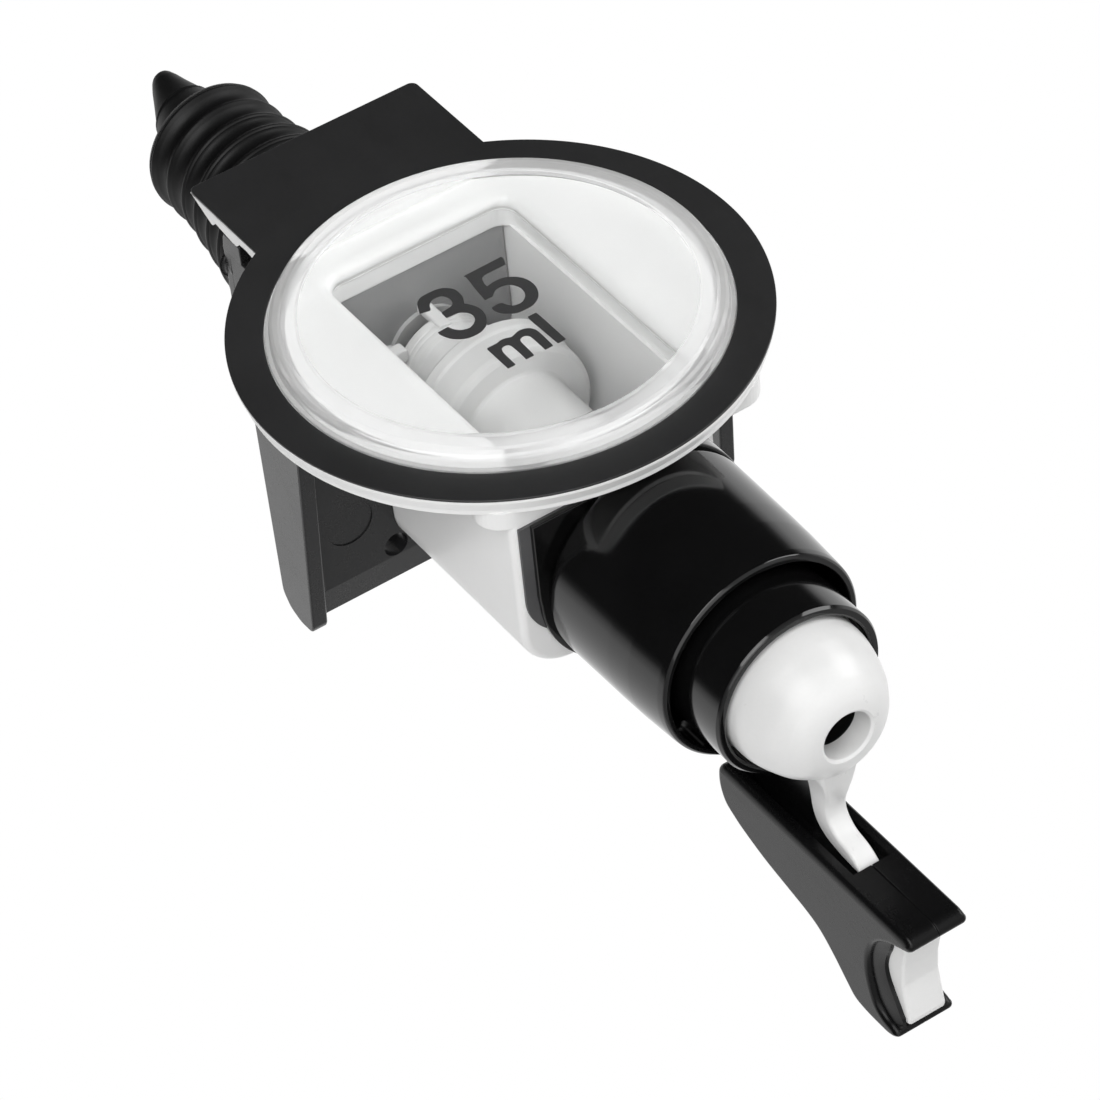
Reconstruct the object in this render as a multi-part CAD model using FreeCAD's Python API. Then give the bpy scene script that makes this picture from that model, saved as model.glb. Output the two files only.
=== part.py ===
import FreeCAD, Part
import os
import math

# Liquor optic: a bottle measure that hangs under an inverted bottle and pours one
# measure when a glass is pushed up against its lever.
#
# Working frame while modelling (millimetres): the centre of the round dial is at
# (0, 0, 0) on the dial's front plane y = 0, +X is to the right of a person who faces
# the dial, +Y runs back into the body and +Z runs up towards the bottle.
# Every solid is moved into the part's own frame at the end, where the origin is the
# middle of the two screw holes in the mounting plate, on the plate's lower face.

V = FreeCAD.Vector

# ----------------------------------------------------------------------------
# driving dimensions
# ----------------------------------------------------------------------------
HOLE_Y = 35.4          # screw holes behind the dial plane
HOLE_X = 22.9          # half the spacing of the screw holes
HOLE_R = 2.15
WEB_Z = 0.5            # lower face of the mounting plate
WEB_T = 2.8

VALVE_Y = 23.1         # the upright valve axis, x = 0

BADGE_R = 42.5         # black badge ring
BADGE_T = 0.4
LENS_HOLE_R = 36.45
TAB_HW = 21.5          # tab half width
TAB_TOP = 57.1

FLANGE_R = 41.6        # thin white rim of the chamber, a full ring behind the bezel
FLANGE_Y0 = 2.7
FLANGE_Y1 = 3.7
SLAB_Y1 = 6.9          # thicker front wall of the chamber, with four screw bosses
BOSS_X, BOSS_Z, BOSS_R = 20.9, 30.8, 4.7
CHORD_Z = -35.5        # underside of the chamber

BOX_HW = 22.5          # chamber outer half width
BOX_BACK = 37.9        # flat back on the left, rounded into the side
BOX_CORNER = 9.0
BOX_TOP = 30.0
RIGHT_HW = 17.5        # the right wall is drawn in below the cap's shoulder
SHOULDER_Z = 14.0
NECK_TOP = -31.0       # the barrel's collar grips the chamber's foot up to here
NECK_R, NECK_IN = 18.9, 16.95
CAV_HW = 16.4          # chamber cavity
BULGE_R = 18.5         # rounded back of the chamber, round the valve axis
CAV_FLOOR = -30.0
CAV_CEIL = 24.2
WIN_HW = 17.0          # window in the white dial
WIN_BOT = -30.0
WIN_TOP = 24.0

CAP_HW = 21.0          # inlet cap block
CAP_TOP = 49.2
CAP_Y0 = 7.0
CAP_Y1 = 42.4

TUBE_R = 9.8           # valve tube inside the chamber
TUBE_BORE = 8.6         # wide part round the outlet valve
TUBE_NARROW = 6.0
SEAT_Z = -43.9         # outlet seat
SEAT_BORE = 5.2

BARREL_R = 18.7
BARREL_BORE = 16.5
BARREL_END = -66.5
BARREL_ROOF = -39.3
SLOT_HW = 1.6          # keyway for the lever web
SLOT_TOP = -47.6
WING_Z = -36.9           # underside of the thin flange that reaches out under the chamber's left side

SLEEVE_R = 14.8
SLEEVE_IN = 13.2
SLEEVE_END = -76.0
SLEEVE_TOP = -48.6
SLEEVE_COLLAR_R = 16.42

NOZZLE_END = -88.0
OUTLET_R = 4.25
OUTLET_LEN = 4.6

TRAVEL = 9.0           # stroke of the actuator

SPRING_MEAN = 11.4
SPRING_WIRE = 0.55
SPRING_TURNS = 6.0

LEVER_HW = 5.45
LEVER_FRONT = 46.8
WEB_HW = 1.1

OUT = "parts"
os.makedirs(OUT, exist_ok=True)


# ----------------------------------------------------------------------------
# helpers
# ----------------------------------------------------------------------------
def box(x0, x1, y0, y1, z0, z1):
    return Part.makeBox(x1 - x0, y1 - y0, z1 - z0, V(x0, y0, z0))


def cylz(r, z0, z1, x=0.0, y=VALVE_Y):
    return Part.makeCylinder(r, z1 - z0, V(x, y, z0), V(0, 0, 1))


def cyly(r, y0, y1, x=0.0, z=0.0):
    return Part.makeCylinder(r, y1 - y0, V(x, y0, z), V(0, 1, 0))


def cylx(r, x0, x1, y, z):
    return Part.makeCylinder(r, x1 - x0, V(x0, y, z), V(1, 0, 0))


def tubez(ro, ri, z0, z1, x=0.0, y=VALVE_Y):
    return cylz(ro, z0, z1, x, y).cut(cylz(ri, z0 - 1, z1 + 1, x, y))


def rev_z(points, y=VALVE_Y):
    """Solid of revolution about the upright axis through (0, y); points are (r, z)."""
    pts = [V(r, y, z) for r, z in points]
    pts.append(pts[0])
    face = Part.Face(Part.makePolygon(pts))
    return face.revolve(V(0, y, 0), V(0, 0, 1), 360)


def rev_y(points):
    """Solid of revolution about the dial's axis; points are (r, y)."""
    pts = [V(r, y, 0) for r, y in points]
    pts.append(pts[0])
    face = Part.Face(Part.makePolygon(pts))
    return face.revolve(V(0, 0, 0), V(0, 1, 0), 360)


def prism_x(points, x0, x1):
    """Side outline in (y, z), extruded along X."""
    pts = [V(x0, y, z) for y, z in points]
    pts.append(pts[0])
    return Part.Face(Part.makePolygon(pts)).extrude(V(x1 - x0, 0, 0))


def spline_prism_x(points, x0, x1):
    """Closed smooth side outline in (y, z), extruded along X."""
    curve = Part.BSplineCurve()
    curve.interpolate([V(x0, y, z) for y, z in points], PeriodicFlag=True)
    return Part.Face(Part.Wire(curve.toShape())).extrude(V(x1 - x0, 0, 0))


def prism_z(points, z0, z1):
    pts = [V(x, y, z0) for x, y in points]
    pts.append(pts[0])
    return Part.Face(Part.makePolygon(pts)).extrude(V(0, 0, z1 - z0))


def dee(hw, y0, z0, z1):
    """Upright D-shaped block: flat front at y0, straight sides, round back on the valve axis."""
    return box(-hw, hw, y0, VALVE_Y, z0, z1).fuse(cylz(hw, z0, z1)).removeSplitter()


def torus(major, minor, z, x=0.0, y=VALVE_Y):
    return Part.makeTorus(major, minor, V(x, y, z), V(0, 0, 1))


def edges_where(shape, test):
    found = []
    for e in shape.Edges:
        pts = [v.Point for v in e.Vertexes]
        if len(pts) >= 1 and test(e, pts):
            found.append(e)
    return found


def soften(shape, radius, test):
    """Rounds the edges that pass the test; keeps the sharp shape if that fails."""
    chosen = edges_where(shape, test)
    if not chosen:
        return shape
    try:
        done = shape.makeFillet(radius, chosen)
        if done.isValid() and done.Volume > 0.5 * shape.Volume:
            return done
    except Exception:
        pass
    return shape


def vertical(e, pts):
    return len(pts) == 2 and abs(pts[0].x - pts[1].x) < 1e-6 and abs(pts[0].y - pts[1].y) < 1e-6


def along_y(e, pts):
    return len(pts) == 2 and abs(pts[0].x - pts[1].x) < 1e-6 and abs(pts[0].z - pts[1].z) < 1e-6


NODES = {}


def keep(name, *solids):
    parts = []
    for s in solids:
        s = s.removeSplitter() if len(s.Solids) == 1 else s
        parts.extend(s.Solids)
    for p in parts:
        if not p.isValid():
            print("invalid solid in", name)
    shape = parts[0] if len(parts) == 1 else Part.makeCompound(parts)
    NODES[name] = shape


# ----------------------------------------------------------------------------
# dial side: badge plate, bezel, lens, gaskets
# ----------------------------------------------------------------------------
tab = box(-TAB_HW, TAB_HW, 0, BADGE_T, 30, TAB_TOP)
tab = soften(tab, 1.3, lambda e, p: along_y(e, p) and p[0].z > 50)
badge = cyly(BADGE_R, 0, BADGE_T).fuse(tab).cut(cyly(LENS_HOLE_R, -1, 2))
keep("badge_plate", badge)

bezel = rev_y([(0, BADGE_T), (BADGE_R, BADGE_T), (BADGE_R, 0.95), (41.7, FLANGE_Y0), (0, FLANGE_Y0)])
TAB_WEDGE = [(BADGE_T, 57.1), (2.4, 52.8), (3.5, 50.6), (2.35, 49.4), (2.7, 47.3), (3.1, 44.4),
             (3.1, 43.2), (2.05, 42.1), (2.0, 40.0), (2.3, 38.1), (2.3, 30.0), (BADGE_T, 30.0)]
bezel = bezel.fuse(prism_x(TAB_WEDGE, -TAB_HW, TAB_HW))
bezel = bezel.cut(cyly(LENS_HOLE_R, BADGE_T - 0.1, 1.0))
bezel = bezel.cut(cyly(LENS_HOLE_R, 0.9, 1.5).cut(cyly(33.4, 0.8, 1.6)))
window = box(-WIN_HW, WIN_HW, -2, 8, WIN_BOT, WIN_TOP)
window = soften(window, 3.0, along_y)
bezel = bezel.cut(window)
BEZEL_SCREWS = [(21.9, 32.2), (-21.9, 32.2), (21.9, -32.2), (-21.9, -32.2)]
for sx, sz in BEZEL_SCREWS:
    bezel = bezel.cut(cyly(1.15, 0.3, 3.0, sx, sz)).cut(cyly(2.25, 0.3, 1.7, sx, sz))
keep("front_bezel", bezel)

gasket_o = soften(box(-WIN_HW - 1.9, WIN_HW + 1.9, 2.7, 3.45, WIN_BOT - 1.9, WIN_TOP + 1.9), 4.9, along_y)
gasket_i = soften(box(-WIN_HW - 0.1, WIN_HW + 0.1, 2, 4, WIN_BOT - 0.1, WIN_TOP + 0.1), 3.1, along_y)
keep("window_gasket", gasket_o.cut(gasket_i))

lens_gasket = cyly(36.2, 1.0, 1.5).cut(cyly(33.6, 0, 2))
keep("lens_gasket", lens_gasket)

LENS = [(0, -3.0), (30.9, -3.0), (31.4, -2.75), (33.6, -2.7), (34.1, -2.5), (34.9, -2.35), (35.4, -1.9),
        (35.55, -1.3), (35.6, -0.25), (36.3, -0.2), (36.3, 1.0), (33.5, 1.0), (33.5, -0.4), (33.0, -1.0),
        (31.0, -1.2), (0, -1.2)]
keep("lens_cover", rev_y(LENS))


# the plain capacity figure on the lens, one closed outline of (x, z) per stroke group
THREE = [(-11.40, 4.60), (-11.0, 5.50), (-10.5, 6.60), (-9.9, 7.30), (-9.0, 7.76), (-7.6, 7.84), (-6.4, 7.76), (-5.4, 7.44), (-4.6, 6.76), (-4.06, 6.0),
         (-3.94, 5.1), (-4.0, 4.0), (-4.26, 3.2), (-4.76, 2.2), (-4.2, 1.4), (-3.7, 0.4), (-3.52, -0.8), (-3.7, -2.0), (-4.1, -3.0), (-4.8, -4.0),
         (-5.6, -4.6), (-6.6, -4.96), (-7.6, -5.0), (-8.8, -4.84), (-9.8, -4.3), (-10.7, -3.5), (-11.3, -2.5), (-11.64, -1.4), (-11.62, -0.85),
         (-9.7, -0.76), (-9.54, -1.3), (-9.2, -2.0), (-8.5, -2.7), (-7.6, -3.02), (-7.0, -3.0), (-6.2, -2.6), (-5.6, -2.0), (-5.26, -1.2), (-5.3, -0.4),
         (-5.6, 0.2), (-6.1, 0.7), (-6.7, 1.04), (-8.0, 1.1), (-8.72, 1.2), (-8.66, 2.66), (-8.0, 2.76), (-7.0, 2.9), (-6.3, 3.2), (-5.9, 3.9),
         (-5.84, 4.6), (-6.0, 5.3), (-6.4, 5.9), (-7.1, 6.16), (-8.0, 6.1), (-8.7, 5.7), (-9.2, 5.1), (-9.44, 4.5), (-9.66, 4.24)]
FIVE = [(-1.04, 7.56), (-0.8, 7.70), (5.82, 7.84), (5.84, 7.2), (5.4, 5.9), (2.0, 5.9), (1.2, 5.76), (0.7, 5.4), (0.4, 4.6), (0.24, 4.0), (0.24, 3.3),
        (0.9, 3.5), (1.8, 3.6), (3.0, 3.5), (4.0, 3.1), (4.9, 2.4), (5.6, 1.5), (6.0, 0.4), (6.1, -0.8), (5.9, -2.0), (5.3, -3.3), (4.4, -4.2), (3.2, -4.8),
        (1.8, -4.9), (0.4, -4.76), (-0.6, -4.24), (-1.4, -3.5), (-1.9, -2.7), (-2.1, -1.8), (-2.0, -1.3), (-0.8, -1.2), (-0.16, -1.44), (0.2, -2.2),
        (0.7, -2.9), (1.5, -3.2), (2.4, -3.14), (3.3, -2.5), (3.86, -1.6), (4.06, -0.6), (3.94, 0.2), (3.5, 1.1), (2.8, 1.7), (1.8, 1.96), (0.7, 1.76),
        (0.0, 1.2), (-0.4, 0.86), (-1.84, 0.9), (-1.76, 1.4), (-1.5, 4.0), (-1.2, 6.0)]
EM = [(-7.96, -8.9), (-7.8, -8.7), (-6.1, -8.7), (-5.4, -8.5), (-4.7, -8.5), (-4.1, -8.7), (-3.5, -8.94), (-2.8, -8.7), (-2.0, -8.44), (-1.2, -8.5),
      (-0.4, -8.84), (0.1, -9.4), (0.36, -10.2), (0.4, -12.0), (0.3, -14.6), (-1.16, -14.6), (-1.16, -11.0), (-1.36, -10.3), (-1.8, -9.96), (-2.3, -9.96),
      (-2.8, -10.24), (-3.04, -11.0), (-3.1, -13.0), (-3.2, -14.6), (-4.64, -14.6), (-4.6, -13.0), (-4.64, -11.0), (-4.76, -10.3), (-5.1, -10.0),
      (-5.7, -9.96), (-6.16, -10.2), (-6.44, -10.9), (-6.54, -12.0), (-6.58, -14.6), (-7.96, -14.6)]
ELL = [(1.04, -6.6), (2.56, -6.6), (2.64, -8.0), (2.64, -14.6), (1.16, -14.6), (0.96, -8.0)]
MK0, MK1 = -3.1, -3.0


def figure(outline):
    pts = [V(x, MK0, z) for x, z in outline]
    pts.append(pts[0])
    return Part.Face(Part.makePolygon(pts)).extrude(V(0, MK1 - MK0, 0))


keep("capacity_mark", figure(THREE), figure(FIVE), figure(EM), figure(ELL))

# ----------------------------------------------------------------------------
# measuring chamber
# ----------------------------------------------------------------------------
rim = cyly(FLANGE_R, FLANGE_Y0, FLANGE_Y1)
slab = box(-BOX_HW, BOX_HW, FLANGE_Y1 - 0.8, SLAB_Y1, -BOSS_Z, BOSS_Z)
slab = slab.fuse(box(-BOSS_X, BOSS_X, FLANGE_Y1 - 0.8, SLAB_Y1, CHORD_Z, -CHORD_Z))
for sx in (-1, 1):
    for sz in (-1, 1):
        slab = slab.fuse(cyly(BOSS_R, FLANGE_Y1 - 0.8, SLAB_Y1, sx * BOSS_X, sz * BOSS_Z))
body = box(-BOX_HW, 0, FLANGE_Y1 - 0.8, BOX_BACK, CHORD_Z, BOX_TOP)
body = soften(body, BOX_CORNER, lambda e, p: vertical(e, p) and p[0].y > 20 and p[0].x < -5)
body = soften(body, 1.2, lambda e, p: all(abs(q.z - CHORD_Z) < 0.01 for q in p) and max(q.y for q in p) > 8 and min(q.x for q in p) < -5)
body = body.fuse(box(-1, RIGHT_HW, FLANGE_Y1 - 0.8, VALVE_Y, CHORD_Z, BOX_TOP)).fuse(cylz(BULGE_R, CHORD_Z, BOX_TOP))
shoulder = box(0, BOX_HW, FLANGE_Y1, 31.0, SHOULDER_Z, BOX_TOP)
shoulder = soften(shoulder, 2.2, lambda e, p: vertical(e, p) and p[0].y > 20 and p[0].x > 5)
shoulder = shoulder.cut(Part.Face(Part.makePolygon([V(RIGHT_HW, 0, SHOULDER_Z - 0.5), V(BOX_HW + 1, 0, SHOULDER_Z - 0.5),
                                                    V(BOX_HW + 1, 0, SHOULDER_Z + 4.5), V(RIGHT_HW, 0, SHOULDER_Z - 0.5)])).extrude(V(0, 40, 0)))
body = body.fuse(shoulder)
body = body.cut(box(0, 40, SLAB_Y1 + 0.05, 60, -60, NECK_TOP + 0.1).cut(cylz(NECK_IN - 0.1, -60, NECK_TOP + 0.2)))
chamber = rim.fuse(slab).fuse(body)
cavity = dee(CAV_HW, 6.3, CAV_FLOOR, BOX_TOP + 1)
chamber = chamber.cut(cavity).cut(window)
g_slot = soften(box(-WIN_HW - 2.0, WIN_HW + 2.0, 2.0, 3.5, WIN_BOT - 2.0, WIN_TOP + 2.0), 5.0, along_y)
chamber = chamber.cut(g_slot.cut(gasket_i))
chamber = chamber.cut(cylz(TUBE_R + 0.05, -40, CAV_FLOOR + 1))
for s in (-1, 1):
    x0, x1 = sorted((s * 37.02, s * 39.98))
    chamber = chamber.cut(box(x0, x1, 3.5, 8, -4.2, 9.3))
for sx, sz in BEZEL_SCREWS:
    chamber = chamber.cut(cyly(1.05, 2.0, 6.4, sx, sz))
CAP_SCREWS = [(18.6, 11.0), (-18.6, 11.0), (18.6, 27.4), (-18.6, 27.4)]
for sx, sy in CAP_SCREWS:
    chamber = chamber.cut(cylz(1.2, 20.0, 31.0, sx, sy))
keep("chamber_housing", chamber)


def pan_screw_y(x, z, y_tip, y_seat, r, head_r, head_t):
    """Pan-head screw that points back from the dial, with a cross recess in its head."""
    s = cyly(r, y_seat - 0.2, y_tip, x, z).fuse(cyly(head_r, y_seat - head_t, y_seat, x, z))
    y0 = y_seat - head_t
    s = s.cut(box(x - 0.3, x + 0.3, y0 - 1, y0 + 0.6, z - 1.2, z + 1.2))
    s = s.cut(box(x - 1.2, x + 1.2, y0 - 1, y0 + 0.6, z - 0.3, z + 0.3))
    return s


def pan_screw_z(x, y, z_tip, z_seat, r, head_r, head_t):
    s = cylz(r, z_tip, z_seat + 0.2, x, y).fuse(cylz(head_r, z_seat, z_seat + head_t, x, y))
    s = s.cut(box(x - 0.3, x + 0.3, y - 1.2, y + 1.2, z_seat + head_t - 0.7, z_seat + head_t + 1))
    s = s.cut(box(x - 1.2, x + 1.2, y - 0.3, y + 0.3, z_seat + head_t - 0.7, z_seat + head_t + 1))
    return s


keep("bezel_screws", *[pan_screw_y(sx, sz, 6.2, 1.7, 1.0, 2.15, 1.2) for sx, sz in BEZEL_SCREWS])

# ----------------------------------------------------------------------------
# inlet cap, stopper and the tubes in it
# ----------------------------------------------------------------------------
cap = box(-CAP_HW, CAP_HW, CAP_Y0, CAP_Y1, BOX_TOP, CAP_TOP)
cap = soften(cap, 9.0, lambda e, p: vertical(e, p) and p[0].y > 20)
cap = soften(cap, 0.8, lambda e, p: all(abs(q.z - CAP_TOP) < 0.01 for q in p))
cap = cap.fuse(box(-CAP_HW, CAP_HW, 3.7, CAP_Y0 + 0.5, 43.4, 48.6))
plug = dee(CAV_HW - 0.1, 6.7, CAV_CEIL, BOX_TOP + 0.5)
plug = plug.cut(dee(CAV_HW - 2.6, 9.2, CAV_CEIL + 1.6, BOX_TOP + 2).cut(cylz(7.8, 20, 40)))
cap = cap.fuse(plug)
cap = cap.cut(dee(CAV_HW - 2.6, 9.2, BOX_TOP - 0.2, 40).cut(cylz(7.8, 20, 60)))
cap = cap.fuse(cylz(10.5, CAP_TOP - 1, CAP_TOP + 3.0))
cap = cap.cut(cylz(4.6, 20, 60)).cut(cylz(9.0, CAP_TOP + 1.0, CAP_TOP + 5.0))
GROOVE = 0.9
cap = cap.cut(dee(CAV_HW, 6.6, 27.0, 28.2).cut(dee(CAV_HW - 0.1 - GROOVE, 6.7 + GROOVE, 26, 29)))
for sx, sy in CAP_SCREWS:
    cap = cap.cut(cylz(1.45, 29, 60, sx, sy)).cut(cylz(2.5, CAP_TOP - 2.2, 60, sx, sy))
keep("inlet_cap", cap)

cap_seal = dee(CAV_HW - 0.02, 6.62, 27.05, 28.15).cut(dee(CAV_HW - 0.08 - GROOVE, 6.68 + GROOVE, 26, 29))
keep("cap_seal", cap_seal)

keep("cap_screws", *[pan_screw_z(sx, sy, 20.5, CAP_TOP - 2.2, 1.15, 2.35, 1.6) for sx, sy in CAP_SCREWS])

inlet_seat = tubez(7.2, 4.7, CAV_CEIL - 0.8, CAV_CEIL)
keep("inlet_seat_washer", inlet_seat)

STOP_Z0 = CAP_TOP + 0.02
CRESTS = [(91.4, 10.6), (89.6, 12.1), (84.7, 12.0), (79.7, 12.2), (74.6, 13.0), (69.4, 13.8), (64.3, 14.8), (59.2, 16.0), (54.2, 16.9)]


def stopper_outline():
    edges = []
    p = [V(5.95, VALVE_Y, STOP_Z0), V(16.6, VALVE_Y, STOP_Z0)]
    edges.append(Part.makeLine(p[0], p[1]))
    last = p[1]
    crests = list(reversed(CRESTS))
    half = 0.55
    for i, (z, r) in enumerate(crests[:-1]):
        low = V(r, VALVE_Y, z - half)
        high = V(r, VALVE_Y, z + half)
        mid = V((last.x + low.x) / 2 - 0.8, VALVE_Y, (last.z + low.z) / 2)
        edges.append(Part.Arc(last, mid, low).toShape())
        edges.append(Part.makeLine(low, high))
        last = high
    top = V(10.2, VALVE_Y, 91.6)
    edges.append(Part.Arc(last, V(11.6, VALVE_Y, 91.0), top).toShape())
    neck = V(8.3, VALVE_Y, 92.4)
    edges.append(Part.makeLine(top, neck))
    end = V(8.0, VALVE_Y, 93.5)
    edges.append(Part.makeLine(neck, end))
    axis_top = V(0.0, VALVE_Y, 93.5)
    edges.append(Part.makeLine(end, axis_top))
    axis_low = V(0.0, VALVE_Y, 90.0)
    edges.append(Part.makeLine(axis_top, axis_low))
    b1 = V(5.95, VALVE_Y, 90.0)
    edges.append(Part.makeLine(axis_low, b1))
    edges.append(Part.makeLine(b1, p[0]))
    return Part.Face(Part.Wire(edges))


stopper = stopper_outline().revolve(V(0, VALVE_Y, 0), V(0, 0, 1), 360)


def ring_wire(r, x, y, z):
    return Part.Wire(Part.makeCircle(r, V(x, y, z), V(0, 0, 1)))


tip = Part.makeLoft([ring_wire(8.0, 0, VALVE_Y, 93.45), ring_wire(5.6, 0.2, VALVE_Y - 1.0, 98.6),
                     ring_wire(3.7, 0.6, VALVE_Y - 2.3, 103.2), ring_wire(2.1, 1.0, VALVE_Y - 3.5, 107.2)], True, False)
stopper = stopper.fuse(tip)
tip_bore = Part.makeLoft([ring_wire(1.5, 0, VALVE_Y, 89.5), ring_wire(1.4, 0.2, VALVE_Y - 1.0, 98.6),
                          ring_wire(1.3, 0.6, VALVE_Y - 2.3, 103.2), ring_wire(1.2, 1.05, VALVE_Y - 3.7, 107.9)], True, False)
stopper = stopper.cut(tip_bore)
stopper = stopper.cut(cylz(10.55, 40, CAP_TOP + 3.05))
keep("bottle_stopper", stopper)

core = tubez(5.9, 4.2, CAP_TOP + 1.05, 89.0).fuse(tubez(8.95, 4.2, CAP_TOP + 1.05, CAP_TOP + 3.0))
keep("stopper_core", core)
keep("breather_tube", tubez(1.15, 0.65, 26.0, 88.0, 2.9, VALVE_Y))

# ----------------------------------------------------------------------------
# valve tube inside the chamber
# ----------------------------------------------------------------------------
VT = [(SEAT_BORE, -46.0), (TUBE_R, -46.0), (TUBE_R, CAV_FLOOR), (12.0, CAV_FLOOR), (12.0, CAV_FLOOR + 1.4), (10.6, CAV_FLOOR + 1.9),
      (TUBE_R, CAV_FLOOR + 2.7), (TUBE_R, -1.9), (10.3, -1.6), (13.5, -1.4), (14.3, -0.9), (14.5, 0.0), (14.5, 4.2), (14.9, 4.6),
      (14.9, 6.3), (14.4, 6.9), (8.2, 7.1), (7.4, 7.6), (7.4, 15.9), (8.1, 16.5), (8.1, 19.9), (7.9, 20.4),
      (6.9, 20.4), (6.9, 8.6), (TUBE_NARROW, 7.4), (TUBE_NARROW, -29.4), (TUBE_BORE, -31.6), (TUBE_BORE, -40.0), (7.5, -40.8), (7.5, SEAT_Z), (SEAT_BORE, SEAT_Z)]
vtube = rev_z(VT)
for k in range(5):
    a = math.radians(-90 + 72 * k)
    finger = box(-1.1, 1.1, -8.6, -7.2, 20.2, CAV_CEIL)
    finger.rotate(V(0, 0, 0), V(0, 0, 1), 72 * k)
    finger.translate(V(0, VALVE_Y, 0))
    root = box(-1.1, 1.1, -8.6, -7.0, 17.2, 20.6)
    root.rotate(V(0, 0, 0), V(0, 0, 1), 72 * k)
    root.translate(V(0, VALVE_Y, 0))
    vtube = vtube.fuse(finger).fuse(root)
arm = box(-CAV_HW + 0.1, -6.6, VALVE_Y - 6.6, VALVE_Y - 4.0, 18.2, 20.4).cut(cylz(7.2, 10, 30))
vtube = vtube.fuse(arm)
for k in range(4):
    hole = Part.makeCylinder(1.9, 7, V(0, VALVE_Y, CAV_FLOOR + 5.0), V(math.cos(math.radians(45 + 90 * k)), math.sin(math.radians(45 + 90 * k)), 0))
    hole.translate(V(5.0 * math.cos(math.radians(45 + 90 * k)), 5.0 * math.sin(math.radians(45 + 90 * k)), 0))
    vtube = vtube.cut(hole)
keep("valve_tube", vtube)

# ----------------------------------------------------------------------------
# valve barrel under the chamber
# ----------------------------------------------------------------------------
wing = box(-19.6, 0, 7.0, VALVE_Y, WING_Z, -36.0)
wing = wing.fuse(cylz(19.4, WING_Z, -36.0).common(box(-40, 0, VALVE_Y - 0.1, 37.0, -60, 0)))
barrel = rev_z([(0, -36.0), (BARREL_R - 1.2, -36.0), (BARREL_R, -38.4), (BARREL_R, -40.0), (18.5, -53.0), (18.35, -58.0),
                (17.95, -65.0), (17.8, -66.1), (17.4, BARREL_END), (16.7, BARREL_END), (BARREL_BORE, -66.2), (BARREL_BORE, BARREL_ROOF), (0, BARREL_ROOF)])
collar = tubez(NECK_R, NECK_IN, -36.6, NECK_TOP).common(box(0.2, 40, 7.1, 60, -60, 0))
barrel = barrel.fuse(wing).fuse(collar)
barrel = barrel.cut(cylz(BARREL_BORE, BARREL_END - 1, BARREL_ROOF))
barrel = barrel.cut(cylz(TUBE_R + 0.03, -50, -30))
barrel = barrel.cut(box(-SLOT_HW, SLOT_HW, VALVE_Y + 10, VALVE_Y + 25, BARREL_END - 1, SLOT_TOP))
keep("valve_barrel", barrel)

bgasket = box(-21.5, 0, 7.1, 31.4, -36.0, CHORD_Z)
bgasket = soften(bgasket, 9.4, lambda e, p: vertical(e, p) and p[0].y > 15 and p[0].x < -5)
bgasket = bgasket.fuse(cylz(16.7, -36.0, CHORD_Z)).common(box(-40, 40, 7.1, 60, -40, -30))
bgasket = bgasket.cut(cylz(TUBE_R + 0.05, -40, -30))
keep("barrel_gasket", bgasket)

# ----------------------------------------------------------------------------
# mounting plate: fork behind the dial with two side legs
# ----------------------------------------------------------------------------
LEG_IN, LEG_OUT = 37.1, 39.9
LEG_L = [(3.6, -3.9), (43.0, -0.35), (44.2, 0.2), (44.35, 3.4), (43.2, 6.4), (40.7, 8.2), (3.6, 9.0)]
LEG_R = [(3.6, -3.9), (52.6, -1.6), (53.8, -0.7), (53.9, 3.4), (52.9, 6.3), (50.4, 8.0), (3.6, 9.0)]
plate = box(-LEG_IN - 0.5, LEG_IN + 0.5, FLANGE_Y1 + 0.1, 43.0, WEB_Z, WEB_Z + WEB_T)
tongue = soften(box(-12.5, 12.5, 38.0, 46.6, WEB_Z, WEB_Z + WEB_T), 3.0, lambda e, p: vertical(e, p) and p[0].y > 40)
bevel = prism_x([(37.6, WEB_Z - 1), (43.5, WEB_Z - 1), (43.5, WEB_Z + 1.1), (43.0, WEB_Z + 1.0), (37.6, WEB_Z)], -50, 50)
plate = plate.cut(bevel).fuse(tongue)
for s in (-1, 1):
    plate = plate.fuse(cylz(4.2, WEB_Z + 0.5, WEB_Z + WEB_T + 1.2, s * HOLE_X, HOLE_Y))
GAP = 0.12
plate = plate.cut(soften(box(-BOX_HW - GAP, 1, 0, BOX_BACK + GAP, -5, 10), BOX_CORNER + GAP, lambda e, p: vertical(e, p) and p[0].y > 20 and p[0].x < -5))
plate = plate.cut(box(-1, RIGHT_HW + GAP, 0, VALVE_Y, -5, 10)).cut(box(-BOX_HW - GAP, BOX_HW + GAP, 0, SLAB_Y1 + GAP, -5, 10))
plate = plate.cut(cylz(BULGE_R + GAP, -5, 10))
plate = plate.fuse(prism_x(LEG_L, -LEG_OUT, -LEG_IN)).fuse(prism_x(LEG_R, LEG_IN, LEG_OUT))
for s in (-1, 1):
    plate = plate.cut(cylz(HOLE_R, -10, 20, s * HOLE_X, HOLE_Y))
    plate = plate.cut(cylz(4.2, WEB_Z - 1, WEB_Z + 0.25, s * 30.5, 26.4))
keep("mounting_plate", plate)

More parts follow.
